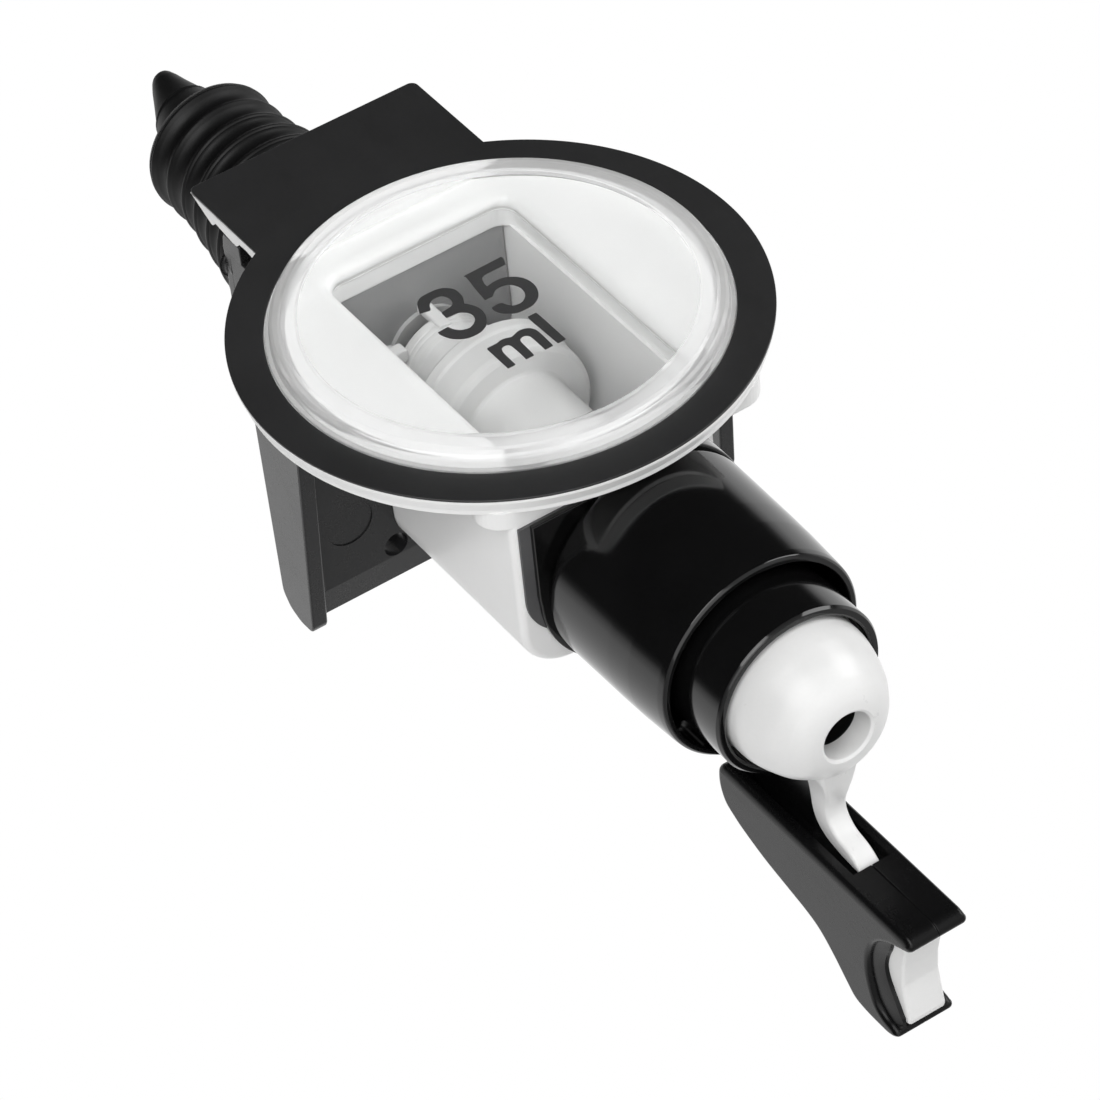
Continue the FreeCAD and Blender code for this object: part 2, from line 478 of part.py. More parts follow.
# ----------------------------------------------------------------------------
# actuator: sleeve, nozzle, stem, seals
# ----------------------------------------------------------------------------
sleeve = rev_z([(12.75, SLEEVE_TOP), (SLEEVE_COLLAR_R, SLEEVE_TOP), (SLEEVE_COLLAR_R, -52.4), (SLEEVE_R + 0.3, -53.6), (SLEEVE_R, -55.0),
                (SLEEVE_R, -75.4), (14.4, -75.95), (13.6, SLEEVE_END), (SLEEVE_IN, -75.7), (SLEEVE_IN, -67.0), (12.75, -67.0)])
sleeve = sleeve.cut(box(-WEB_HW - 0.02, WEB_HW + 0.02, VALVE_Y + 14.1, VALVE_Y + 20, -80, -57.4))
keep("slide_sleeve", sleeve)

nozzle = rev_z([(9.6, -67.05), (13.15, -67.05), (13.15, -68.6), (12.6, -68.7), (12.6, -70.0), (13.15, -70.1), (13.15, -71.6),
                (12.6, -72.4), (12.6, -74.0), (12.5, -77.0), (12.15, -79.0), (11.7, -80.6), (10.7, -83.6), (9.4, -86.0),
                (8.0, -87.3), (6.3, -87.9), (4.75, NOZZLE_END), (OUTLET_R, -87.7), (OUTLET_R, NOZZLE_END + OUTLET_LEN), (9.6, -74.2)])
hub = cylz(3.6, -73.6, -69.0)
for k in range(3):
    a = box(0.0, 10.4, -0.9, 0.9, -73.2, -69.6)
    a.rotate(V(0, 0, 0), V(0, 0, 1), 30 + 120 * k)
    a.translate(V(0, VALVE_Y, 0))
    hub = hub.fuse(a)
STRAP = [(31.0, -79.3), (35.5, -79.4), (40.0, -79.5), (43.8, -80.0), (45.6, -81.0), (46.9, -82.8), (47.8, -85.4), (48.3, -88.4),
         (48.5, -91.9), (47.5, -91.6), (46.3, -90.2), (45.45, -88.4), (44.95, -86.4), (44.1, -85.1), (43.0, -84.3), (41.2, -83.8),
         (39.2, -84.2), (37.0, -85.0), (34.6, -85.2), (31.0, -85.3)]
strap = prism_x(STRAP, -1.9, 1.9)
nozzle = nozzle.fuse(hub).fuse(strap)
nozzle = nozzle.cut(cylz(2.03, -74, -68))
keep("outlet_nozzle", nozzle)
keep("nozzle_o_ring", torus(12.9, 0.3, -69.35).fuse(tubez(13.15, 12.62, -69.6, -69.1)))

stem = rev_z([(0, -73.3), (1.7, -73.3), (2.0, -73.0), (2.0, -69.0), (2.4, -69.0), (2.4, -45.6), (1.7, -45.6), (1.7, -41.3), (5.6, -41.3), (5.6, -40.5),
              (2.4, -39.6), (2.4, 9.6), (5.3, 11.0), (5.3, 11.8), (1.8, 11.8), (1.8, 14.3), (3.0, 14.3), (2.6, 15.2), (0, 15.2)])
keep("valve_stem", stem)
keep("lower_valve_seal", rev_z([(1.72, -43.8), (6.7, -43.8), (7.0, -43.4), (7.0, -41.8), (6.5, -41.35), (1.72, -41.35)]))
keep("upper_valve_seal", rev_z([(1.82, 11.85), (6.1, 11.85), (6.3, 12.2), (6.3, 13.8), (6.0, 14.25), (1.82, 14.25)]))
keep("spring_washer", tubez(12.6, 9.7, -67.0, -66.3))

spring_z0 = -66.3 + SPRING_WIRE + 0.05
spring_z1 = BARREL_ROOF - SPRING_WIRE - 0.05
helix = Part.makeHelix((spring_z1 - spring_z0) / SPRING_TURNS, spring_z1 - spring_z0, SPRING_MEAN)
helix.translate(V(0, VALVE_Y, spring_z0))
wire = Part.Wire(helix.Edges)
start = wire.Edges[0].valueAt(wire.Edges[0].FirstParameter)
tangent = wire.Edges[0].tangentAt(wire.Edges[0].FirstParameter)
profile = Part.Wire(Part.makeCircle(SPRING_WIRE, start, tangent))
spring = wire.makePipeShell([profile], True, True)
keep("return_spring", spring)

# ----------------------------------------------------------------------------
# push lever: two shells either side of the web, with the pad
# ----------------------------------------------------------------------------
LEVER = [(46.8, -61.6), (48.0, -60.2), (50.4, -59.9), (52.8, -60.3), (54.9, -61.1), (57.6, -65.9), (59.6, -71.2), (61.0, -76.6), (62.4, -82.0), (63.8, -85.1),
         (66.4, -88.2), (69.5, -91.2), (71.5, -93.2), (72.2, -96.4), (72.3, -100.1), (72.4, -101.9), (71.6, -103.6), (70.8, -104.2),
         (69.8, -102.6), (69.4, -100.9), (68.2, -99.3), (66.2, -98.4), (63.6, -97.6), (60.9, -97.4), (58.1, -97.8), (55.4, -98.8),
         (53.3, -100.5), (51.9, -102.4), (50.3, -105.6), (49.4, -107.9), (48.4, -108.6), (47.4, -108.3), (46.8, -107.2)]
PAD = [(50.9, -105.2), (57.3, -103.8), (61.6, -103.5), (64.5, -104.0), (68.2, -104.9), (69.2, -104.7), (69.5, -103.4),
       (69.0, -99.5), (67.0, -95.6), (57.0, -94.8), (53.2, -97.4), (51.0, -101.9)]
full = prism_x(LEVER, -LEVER_HW, LEVER_HW)
full = soften(full, 0.9, lambda e, p: len(p) == 2 and abs(abs(p[0].x) - LEVER_HW) < 1e-6 and abs(p[0].x - p[1].x) < 1e-6)
channel = soften(box(-3.4, 3.4, LEVER_FRONT - 2, 48.9, -92.1, -50), 1.0, vertical)
full = full.cut(channel)
pocket = prism_x(PAD, -3.48, 3.48)
full = full.cut(pocket)
full = full.cut(box(-WEB_HW - 0.03, WEB_HW + 0.03, 40, 51.6, -79.8, -50))
PINS = [(50.2, -67.5), (56.0, -78.5), (64.4, -92.4)]
for py, pz in PINS:
    full = full.cut(cylx(1.22, -4.2, 4.2, py, pz))
left = full.common(box(-10, -0.02, 30, 90, -130, -40))
right = full.common(box(0.02, 10, 30, 90, -130, -40))
keep("lever_shell_left", left)
keep("lever_shell_right", right)
keep("lever_dowels", *[cylx(1.2, -4.1, 4.1, py, pz) for py, pz in PINS])

pad = prism_x(PAD, -3.45, 3.45)
pad = soften(pad, 0.6, lambda e, p: len(p) == 2 and abs(abs(p[0].x) - 3.45) < 1e-6 and abs(p[0].x - p[1].x) < 1e-6)
pad = pad.cut(cylx(1.25, -6, 6, PINS[2][0], PINS[2][1]))
keep("lever_pad", pad)

WEB = [(37.25, -58.2), (39.0, -57.6), (51.5, -57.6), (51.5, -79.6), (46.8, -79.5), (43.0, -79.2), (40.0, -78.6), (38.4, -77.6), (37.25, -75.6)]
web = prism_x(WEB, -WEB_HW, WEB_HW)
web = web.cut(cylx(1.22, -5, 5, PINS[0][0], PINS[0][1]))
keep("lever_web", web)

# ----------------------------------------------------------------------------
# write every node in the part's own frame
# ----------------------------------------------------------------------------
SHIFT = V(0, -HOLE_Y, -WEB_Z)
for name, shape in NODES.items():
    s = shape.copy()
    s.translate(SHIFT)
    s.exportStep(os.path.join(OUT, name + ".step"))
print("nodes:", len(NODES))
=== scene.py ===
import bpy
import bmesh
import math
from mathutils import Vector, Matrix
from mathutils.geometry import tessellate_polygon


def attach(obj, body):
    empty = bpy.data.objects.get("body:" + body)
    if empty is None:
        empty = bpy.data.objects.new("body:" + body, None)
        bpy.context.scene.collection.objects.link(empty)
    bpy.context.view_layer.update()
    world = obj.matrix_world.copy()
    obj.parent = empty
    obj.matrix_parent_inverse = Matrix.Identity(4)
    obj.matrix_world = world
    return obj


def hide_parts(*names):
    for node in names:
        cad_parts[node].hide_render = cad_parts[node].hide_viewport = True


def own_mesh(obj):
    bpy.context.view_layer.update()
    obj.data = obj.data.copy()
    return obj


# Liquor optic: a bottle measure with a ribbed stopper, a dial with a clear lens, a white
# chamber, a black valve barrel, a white nozzle and a push-up lever.
# Shapes below are written in millimetres from the dial's centre (X right, Y back, Z up)
# and are moved into the row's frame by T().

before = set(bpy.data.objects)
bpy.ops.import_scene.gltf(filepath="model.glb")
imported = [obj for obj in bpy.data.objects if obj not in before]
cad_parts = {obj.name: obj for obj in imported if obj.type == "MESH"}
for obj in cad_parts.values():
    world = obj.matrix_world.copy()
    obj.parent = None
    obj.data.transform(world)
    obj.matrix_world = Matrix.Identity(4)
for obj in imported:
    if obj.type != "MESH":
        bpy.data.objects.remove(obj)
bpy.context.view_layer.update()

MM = 0.001
HOLE_Y, WEB_Z = 35.4, 0.5
VY = 23.1                     # upright valve axis
BODY, ACT = "optic_body", "actuator"


def T(p):
    return (p[0] * MM, (p[1] - HOLE_Y) * MM, (p[2] - WEB_Z) * MM)


# ---------------------------------------------------------------------------
# camera
# ---------------------------------------------------------------------------
RIGHT = Vector((0.823455665, 0.079038129, -0.561848504))
DOWN = Vector((-0.432426554, 0.728519382, -0.531287855))
FWD = Vector((0.367325527, 0.680450207, 0.634081598))
CAM = Vector(T((-306.722955, -523.783340, -536.960080)))
cam_data = bpy.data.cameras.new("camera")
cam_data.sensor_width = 36.0
cam_data.sensor_fit = "HORIZONTAL"
cam_data.lens = 172.68
cam_data.clip_start = 0.01
cam_data.clip_end = 50.0
cam = bpy.data.objects.new("camera", cam_data)
bpy.context.scene.collection.objects.link(cam)
m = Matrix((
    (RIGHT.x, -DOWN.x, -FWD.x, CAM.x),
    (RIGHT.y, -DOWN.y, -FWD.y, CAM.y),
    (RIGHT.z, -DOWN.z, -FWD.z, CAM.z),
    (0, 0, 0, 1)))
cam.matrix_world = m
bpy.context.scene.camera = cam


# ---------------------------------------------------------------------------
# 2D helpers
# ---------------------------------------------------------------------------
def clean(pts, eps=1e-4):
    out = []
    for p in pts:
        if not out or math.hypot(p[0] - out[-1][0], p[1] - out[-1][1]) > eps:
            out.append((float(p[0]), float(p[1])))
    if len(out) > 1 and math.hypot(out[0][0] - out[-1][0], out[0][1] - out[-1][1]) <= eps:
        out.pop()
    return out


def rounded(pts, radii=0.3, seg=6, closed=True):
    """Rounds the corners of a 2D outline; radii is one number or one per corner."""
    n = len(pts)
    rr = radii if isinstance(radii, (list, tuple)) else [radii] * n
    out = []
    for i in range(n):
        p = Vector(pts[i])
        if rr[i] <= 0 or (not closed and i in (0, n - 1)):
            out.append((p.x, p.y))
            continue
        a, b = Vector(pts[i - 1]), Vector(pts[(i + 1) % n])
        la, lb = (a - p).length, (b - p).length
        u, v = (a - p).normalized(), (b - p).normalized()
        c = max(-1.0, min(1.0, u.dot(v)))
        ang = math.acos(c)
        if ang > math.radians(176) or ang < math.radians(2):
            out.append((p.x, p.y))
            continue
        t = min(rr[i] / math.tan(ang / 2), 0.48 * la, 0.48 * lb)
        r = t * math.tan(ang / 2)
        mid = (u + v).normalized()
        cen = p + mid * (r / math.sin(ang / 2))
        p0, p1 = p + u * t, p + v * t
        a0 = math.atan2(p0.y - cen.y, p0.x - cen.x)
        a1 = math.atan2(p1.y - cen.y, p1.x - cen.x)
        d = (a1 - a0 + math.pi) % (2 * math.pi) - math.pi
        k = max(2, math.ceil(abs(d) / (math.pi / 2) * seg))
        for j in range(k + 1):
            out.append((cen.x + r * math.cos(a0 + d * j / k), cen.y + r * math.sin(a0 + d * j / k)))
    return clean(out) if closed else out


def arc(cx, cy, r, a0, a1, n):
    return [(cx + r * math.cos(math.radians(a0 + (a1 - a0) * i / n)),
             cy + r * math.sin(math.radians(a0 + (a1 - a0) * i / n))) for i in range(n + 1)]


def circle(cx, cy, r, n=64):
    return arc(cx, cy, r, 0, 360, n)[:-1]


def rect(u0, u1, v0, v1, r=0.0, seg=8):
    pts = [(u0, v0), (u1, v0), (u1, v1), (u0, v1)]
    return rounded(pts, r, seg) if r else pts


def curve(pts, step=0.6, closed=False):
    """Smooth curve through the points."""
    n = len(pts)
    out = []
    last = n if closed else n - 1
    for i in range(last):
        if closed:
            p0, p1, p2, p3 = (pts[(i - 1) % n], pts[i], pts[(i + 1) % n], pts[(i + 2) % n])
        else:
            p0, p1, p2, p3 = (pts[max(i - 1, 0)], pts[i], pts[i + 1], pts[min(i + 2, n - 1)])
        d = math.dist(p1, p2)
        k = max(1, math.ceil(d / step))
        for j in range(k):
            t = j / k
            q = []
            for c in range(len(p1)):
                m1 = 0.5 * (p2[c] - p0[c])
                m2 = 0.5 * (p3[c] - p1[c])
                if not closed and i == 0:
                    m1 = p2[c] - p1[c]
                if not closed and i == n - 2:
                    m2 = p2[c] - p1[c]
                t2, t3 = t * t, t * t * t
                q.append((2 * t3 - 3 * t2 + 1) * p1[c] + (t3 - 2 * t2 + t) * m1 + (-2 * t3 + 3 * t2) * p2[c] + (t3 - t2) * m2)
            out.append(tuple(q))
    if not closed:
        out.append(tuple(pts[-1]))
    return out


def area(loop):
    return 0.5 * sum(loop[i - 1][0] * loop[i][1] - loop[i][0] * loop[i - 1][1] for i in range(len(loop)))


def offset(loop, d):
    """Moves an outline d towards its left side."""
    n = len(loop)
    out = []
    for i in range(n):
        a, p, b = Vector(loop[i - 1]), Vector(loop[i]), Vector(loop[(i + 1) % n])
        e0, e1 = (p - a).normalized(), (b - p).normalized()
        n0, n1 = Vector((-e0.y, e0.x)), Vector((-e1.y, e1.x))
        mm_ = n0 + n1
        k = 1.0 + n0.dot(n1)
        if k < 0.25:
            k = 0.25
        mm_ = mm_ / k
        out.append((p.x + mm_.x * d, p.y + mm_.y * d))
    return out


# ---------------------------------------------------------------------------
# mesh builder
# ---------------------------------------------------------------------------
class Shell:
    def __init__(self):
        self.v, self.f, self.mi = [], [], []

    def add(self, verts, faces, mat=0):
        base = len(self.v)
        self.v.extend(verts)
        self.f.extend([tuple(base + i for i in f) for f in faces])
        self.mi.extend([mat] * len(faces))


def supports(prof, closed, gap=0.07, least=0.9):
    """Adds points close to both ends of long straight runs, so that rounding shades cleanly."""
    out = []
    n = len(prof)
    last = n if closed else n - 1
    for i in range(last):
        p, q = prof[i], prof[(i + 1) % n]
        out.append(p)
        d = math.dist(p, q)
        if d > least:
            for t in (gap / d, 1 - gap / d):
                out.append(tuple(p[c] + (q[c] - p[c]) * t for c in range(len(p))))
    if not closed:
        out.append(prof[-1])
    return out


def lathe(s, prof, closed=True, cx=0.0, cy=VY, n=160, a0=0.0, a1=360.0, axis="z", mat=0, support=True, shift=None, mat_of=None):
    """Turns a profile of (r, h) about an axis. An open profile starts and ends on the axis.
    shift gives (dx, dy) for a height, where the turning is about a leaning axis."""
    if support:
        prof = supports(prof, closed)
    full = abs(a1 - a0) >= 359.999
    cols = n if full else n + 1
    verts, faces, mats = [], [], []
    index = []
    for (r, h) in prof:
        dx, dy = shift(h) if shift else (0.0, 0.0)
        row = []
        if r < 1e-6:
            if axis == "z":
                verts.append((cx + dx, cy + dy, h))
            else:
                verts.append((cx + dx, h, cy + dy))
            row = [len(verts) - 1] * cols
        else:
            for j in range(cols):
                a = math.radians(a0 + (a1 - a0) * j / n)
                if axis == "z":
                    verts.append((cx + dx + r * math.cos(a), cy + dy + r * math.sin(a), h))
                else:
                    verts.append((cx + dx + r * math.cos(a), h, cy + dy + r * math.sin(a)))
                row.append(len(verts) - 1)
        index.append(row)
    rows = len(prof)
    for i in range(rows if closed else rows - 1):
        ra, rb = index[i], index[(i + 1) % rows]
        pm = prof[i][0], prof[(i + 1) % rows][0]
        hm = prof[i][1], prof[(i + 1) % rows][1]
        mt = mat_of((pm[0] + pm[1]) / 2, (hm[0] + hm[1]) / 2) if mat_of else mat
        for j in range(cols if full else cols - 1):
            k = (j + 1) % cols
            q = [ra[j], ra[k], rb[k], rb[j]]
            q = [q[t] for t in range(4) if q[t] != q[t - 1]]
            if len(q) >= 3:
                faces.append(tuple(q))
                mats.append(mt)
    if not full:
        tri = tessellate_polygon([[Vector((p[0], p[1], 0)) for p in prof]])
        for col in (0, cols - 1):
            for t in tri:
                faces.append(tuple(index[k][col] for k in t))
                mats.append(mat)
    base = len(s.v)
    s.v.extend(verts)
    s.f.extend([tuple(base + i for i in f) for f in faces])
    s.mi.extend(mats)


AX = {
    "z": lambda u, v, w: (u, v, w),
    "y": lambda u, v, w: (u, w, v),
    "x": lambda u, v, w: (w, u, v),
}


def prism(s, loops, w0, w1, axis="z", b0=0.3, b1=0.3, seg=4, mat=0, fmap=None, grow=None):
    """Extrudes an outline with holes along an axis and rounds the edges of both ends."""
    f = fmap or AX[axis]
    fixed = []
    for i, lp in enumerate(loops):
        lp = clean(lp)
        a = area(lp)
        if (i == 0 and a < 0) or (i > 0 and a > 0):
            lp = lp[::-1]
        fixed.append(lp)
    EPS = 0.06
    rings = []
    if b0 > 0:
        rings += [(b0 + EPS, w0), (b0, w0)]
        rings += [(b0 * (1 - math.sin(t)), w0 + b0 * (1 - math.cos(t))) for t in [math.pi / 2 * k / seg for k in range(1, seg)]]
        rings += [(0.0, w0 + b0), (0.0, w0 + b0 + EPS)]
    else:
        rings += [(0.0, w0)]
    if b1 > 0:
        rings += [(0.0, w1 - b1 - EPS), (0.0, w1 - b1)]
        rings += [(b1 * (1 - math.cos(t)), w1 - b1 * (1 - math.sin(t))) for t in [math.pi / 2 * k / seg for k in range(1, seg)]]
        rings += [(b1, w1), (b1 + EPS, w1)]
    else:
        rings += [(0.0, w1)]
    verts, faces = [], []
    start = []

    def inset(lp, ins):
        q = offset(lp, ins) if ins > 0 else lp
        if grow and ins > 0:
            q = [(p[0] + (r[0] - p[0]) * grow(p), p[1] + (r[1] - p[1]) * grow(p)) for p, r in zip(lp, q)]
        return q

    for (ins, w) in rings:
        here = []
        for lp in fixed:
            q = inset(lp, ins)
            here.append((len(verts), len(q)))
            verts.extend([f(p[0], p[1], w) for p in q])
        start.append(here)
    for i in range(len(rings) - 1):
        for l in range(len(fixed)):
            a, n = start[i][l]
            b, _ = start[i + 1][l]
            for j in range(n):
                k = (j + 1) % n
                faces.append((a + j, a + k, b + k, b + j))
    for i in (0, len(rings) - 1):
        ins = rings[i][0]
        polys, ids = [], []
        for l, lp in enumerate(fixed):
            q = inset(lp, ins)
            polys.append([Vector((p[0], p[1], 0)) for p in q])
            a, n = start[i][l]
            ids.extend(range(a, a + n))
        for t in tessellate_polygon(polys):
            faces.append(tuple(ids[k] for k in t))
    s.add(verts, faces, mat)


def loft(s, sections, mat=0, cap=True):
    """Joins closed sections of the same count of 3D points."""
    n = len(sections[0])
    verts = [p for sec in sections for p in sec]
    faces = []
    for i in range(len(sections) - 1):
        for j in range(n):
            k = (j + 1) % n
            faces.append((i * n + j, i * n + k, (i + 1) * n + k, (i + 1) * n + j))
    if cap:
        faces.append(tuple(range(n)))
        faces.append(tuple((len(sections) - 1) * n + j for j in range(n)))
    s.add(verts, faces, mat)


def tube(s, path, r, n=16, mat=0):
    """Round wire along a path of 3D points, with domed ends."""
    pts = [Vector(p) for p in path]
    t0 = (pts[1] - pts[0]).normalized()
    up = Vector((0, 0, 1))
    if abs(t0.dot(up)) > 0.9:
        up = Vector((1, 0, 0))
    nrm = (up - t0 * up.dot(t0)).normalized()
    secs = []
    prev = t0
    for i, p in enumerate(pts):
        t = (pts[min(i + 1, len(pts) - 1)] - pts[max(i - 1, 0)]).normalized()
        q = prev.rotation_difference(t)
        nrm = (q @ nrm)
        nrm = (nrm - t * nrm.dot(t)).normalized()
        bin_ = t.cross(nrm)
        prev = t
        ends = []
        if i == 0:
            ends = [(-r * 0.97, r * 0.25), (-r * 0.8, r * 0.62), (-r * 0.45, r * 0.9)]
        if i == len(pts) - 1:
            ends = [(r * 0.45, r * 0.9), (r * 0.8, r * 0.62), (r * 0.97, r * 0.25)]
        ring = lambda off, rr: [tuple(p + t * off + (nrm * math.cos(2 * math.pi * k / n) + bin_ * math.sin(2 * math.pi * k / n)) * rr) for k in range(n)]
        if i == 0:
            for o, rr in ends:
                secs.append(ring(o, rr))
            secs.append(ring(0, r))
        elif i == len(pts) - 1:
            secs.append(ring(0, r))
            for o, rr in ends:
                secs.append(ring(o, rr))
        else:
            secs.append(ring(0, r))
    loft(s, secs, mat)


def make(name, s, body, mats, replaces=(), sharp=30.0):
    me = bpy.data.meshes.new(name)
    me.from_pydata([T(p) for p in s.v], [], s.f)
    for mt in (mats if isinstance(mats, (list, tuple)) else [mats]):
        me.materials.append(mt)
    me.polygons.foreach_set("material_index", s.mi)
    bm = bmesh.new()
    bm.from_mesh(me)
    bmesh.ops.dissolve_degenerate(bm, edges=bm.edges, dist=1e-8)
    bmesh.ops.recalc_face_normals(bm, faces=bm.faces)
    bm.to_mesh(me)
    bm.free()
    me.polygons.foreach_set("use_smooth", [True] * len(me.polygons))
    me.update()
    me.set_sharp_from_angle(angle=math.radians(sharp))
    ob = bpy.data.objects.new(name, me)
    bpy.context.scene.collection.objects.link(ob)
    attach(ob, body)
    if replaces:
        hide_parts(*replaces)
    return ob


# ---------------------------------------------------------------------------
# materials
# ---------------------------------------------------------------------------
def new_mat(name):
    mt = bpy.data.materials.new(name)
    mt.use_nodes = True
    nt = mt.node_tree
    nt.nodes.clear()
    out = nt.nodes.new("ShaderNodeOutputMaterial")
    bs = nt.nodes.new("ShaderNodeBsdfPrincipled")
    nt.links.new(bs.outputs[0], out.inputs[0])
    co = nt.nodes.new("ShaderNodeTexCoord")
    return mt, nt, bs, co.outputs["Object"]


def noise(nt, vec, scale, detail=2.0, rough=0.5, dist=0.0):
    n = nt.nodes.new("ShaderNodeTexNoise")
    n.inputs["Scale"].default_value = scale
    n.inputs["Detail"].default_value = detail
    n.inputs["Roughness"].default_value = rough
    n.inputs["Distortion"].default_value = dist
    nt.links.new(vec, n.inputs["Vector"])
    return n.outputs["Fac"]


def stretch(nt, vec, sx, sy, sz):
    n = nt.nodes.new("ShaderNodeMapping")
    n.inputs["Scale"].default_value = (sx, sy, sz)
    nt.links.new(vec, n.inputs["Vector"])
    return n.outputs[0]


def ramp(nt, fac, stops):
    n = nt.nodes.new("ShaderNodeValToRGB")
    e = n.color_ramp.elements
    e[0].position, e[1].position = stops[0][0], stops[-1][0]
    for k, (pos, val) in enumerate(stops):
        el = e[0] if k == 0 else (e[len(e) - 1] if k == len(stops) - 1 else e.new(pos))
        c = val if isinstance(val, (list, tuple)) else (val, val, val)
        el.color = (c[0], c[1], c[2], 1.0)
    nt.links.new(fac, n.inputs[0])
    return n.outputs[0]


def span(nt, fac, lo, hi, f0=0.0, f1=1.0):
    n = nt.nodes.new("ShaderNodeMapRange")
    n.inputs["From Min"].default_value = f0
    n.inputs["From Max"].default_value = f1
    n.inputs["To Min"].default_value = lo
    n.inputs["To Max"].default_value = hi
    nt.links.new(fac, n.inputs["Value"])
    return n.outputs[0]


def mul(nt, a, b, op="MULTIPLY"):
    n = nt.nodes.new("ShaderNodeMath")
    n.operation = op
    for i, x in enumerate((a, b)):
        if isinstance(x, (int, float)):
            n.inputs[i].default_value = x
        else:
            nt.links.new(x, n.inputs[i])
    return n.outputs[0]


def bump(nt, height, strength, dist, normal=None):
    n = nt.nodes.new("ShaderNodeBump")
    n.inputs["Strength"].default_value = strength
    n.inputs["Distance"].default_value = dist
    nt.links.new(height, n.inputs["Height"])
    if normal is not None:
        nt.links.new(normal, n.inputs["Normal"])
    return n.outputs[0]


def plastic(name, dark, light, rough_lo, rough_hi, grain=6000.0, grain_str=0.25, grain_mm=0.01, wave_str=0.0, smear=0.04, spec=0.5, sss=0.0, scratch=0.0):
    """Moulded plastic: slow colour drift, fine grain, handling smears in the roughness."""
    mt, nt, bs, vec = new_mat(name)
    drift = noise(nt, vec, 45.0, 3.0, 0.6)
    fleck = noise(nt, vec, 1800.0, 2.0, 0.6)
    both = mul(nt, mul(nt, drift, 0.75), mul(nt, fleck, 0.25), "ADD")
    col = ramp(nt, both, [(0.32, dark), (0.68, light)])
    nt.links.new(col, bs.inputs["Base Color"])
    sm = noise(nt, stretch(nt, vec, 1.0, 0.55, 0.4), 90.0, 5.0, 0.62, 1.2)
    fine = noise(nt, vec, 700.0, 3.0, 0.6)
    rr = mul(nt, span(nt, sm, rough_lo, rough_hi, 0.3, 0.72), span(nt, fine, -smear, smear, 0.3, 0.7), "ADD")
    nt.links.new(rr, bs.inputs["Roughness"])
    bs.inputs["Specular IOR Level"].default_value = spec
    nrm = None
    if wave_str > 0:
        nrm = bump(nt, noise(nt, vec, 60.0, 1.0, 0.4), wave_str, 0.0002)
    if scratch > 0:
        sc = noise(nt, stretch(nt, vec, 1.0, 0.6, 0.035), 900.0, 2.0, 0.7, 0.3)
        sc = ramp(nt, sc, [(0.60, 0.0), (0.66, 1.0)])
        nrm = bump(nt, sc, scratch, 0.00001, nrm)
    g = noise(nt, vec, grain, 2.0, 0.55)
    nrm = bump(nt, g, grain_str, grain_mm * 0.001, nrm)
    nt.links.new(nrm, bs.inputs["Normal"])
    if sss > 0:
        bs.inputs["Subsurface Weight"].default_value = sss
        bs.inputs["Subsurface Radius"].default_value = (0.0012, 0.0011, 0.001)
        bs.inputs["Subsurface Scale"].default_value = 1.0
    return mt


m_badge = plastic("badge_black", (0.019, 0.019, 0.0195), (0.026, 0.026, 0.0265), 0.36, 0.44, grain=5600, grain_str=0.16, grain_mm=0.010)
m_white = plastic("white_body", (0.83, 0.83, 0.825), (0.865, 0.865, 0.86), 0.30, 0.35, grain=4000, grain_str=0.05, grain_mm=0.006, smear=0.02, sss=0.0)
m_nozzle = plastic("white_nozzle", (0.755, 0.755, 0.75), (0.795, 0.795, 0.79), 0.28, 0.33, grain=3500, grain_str=0.04, grain_mm=0.006, smear=0.02, sss=0.0)
# darker copy of the white plastic for parts that sit inside: painted shade
m_inner_painted_shade = plastic("white_inner", (0.72, 0.72, 0.715), (0.78, 0.78, 0.775), 0.35, 0.45, grain=3500, grain_str=0.12, grain_mm=0.01)
# darker copy of the white body plastic for the chamber's inside faces: painted shade
m_cavity_painted_shade = plastic("white_cavity_painted_shade", (0.80, 0.80, 0.795), (0.85, 0.85, 0.845), 0.34, 0.44, grain=3500, grain_str=0.12, grain_mm=0.01)
# grey for the black cap's plug under the window: painted haze and reflection seen through the lens
m_plug_painted_haze = plastic("plug_grey_painted_haze", (0.29, 0.29, 0.29), (0.33, 0.33, 0.33), 0.34, 0.44, grain=4200, grain_str=0.12, grain_mm=0.01)
# near-black for the bore of the white nozzle: painted shade deep inside the bore
m_nozzle_bore_painted_shade = plastic("nozzle_inside_painted_shade", (0.012, 0.012, 0.012), (0.018, 0.018, 0.018), 0.40, 0.50, grain=4200, grain_str=0.10, grain_mm=0.01)
m_body = plastic("black_body", (0.010, 0.010, 0.0105), (0.015, 0.015, 0.0155), 0.22, 0.30, grain=5200, grain_str=0.10, grain_mm=0.008, smear=0.02)
m_gloss = plastic("black_gloss", (0.0022, 0.0022, 0.0023), (0.0042, 0.0042, 0.0044), 0.085, 0.125, grain=3000, grain_str=0.03, grain_mm=0.005, wave_str=0.04, smear=0.012, scratch=0.05)
m_lever = plastic("black_lever", (0.003, 0.003, 0.0032), (0.006, 0.006, 0.0062), 0.22, 0.30, grain=4200, grain_str=0.07, grain_mm=0.008, wave_str=0.05, smear=0.02, spec=0.22)
m_print = plastic("print_grey", (0.042, 0.042, 0.043), (0.055, 0.055, 0.056), 0.40, 0.52, grain=7000, grain_str=0.2, grain_mm=0.008)


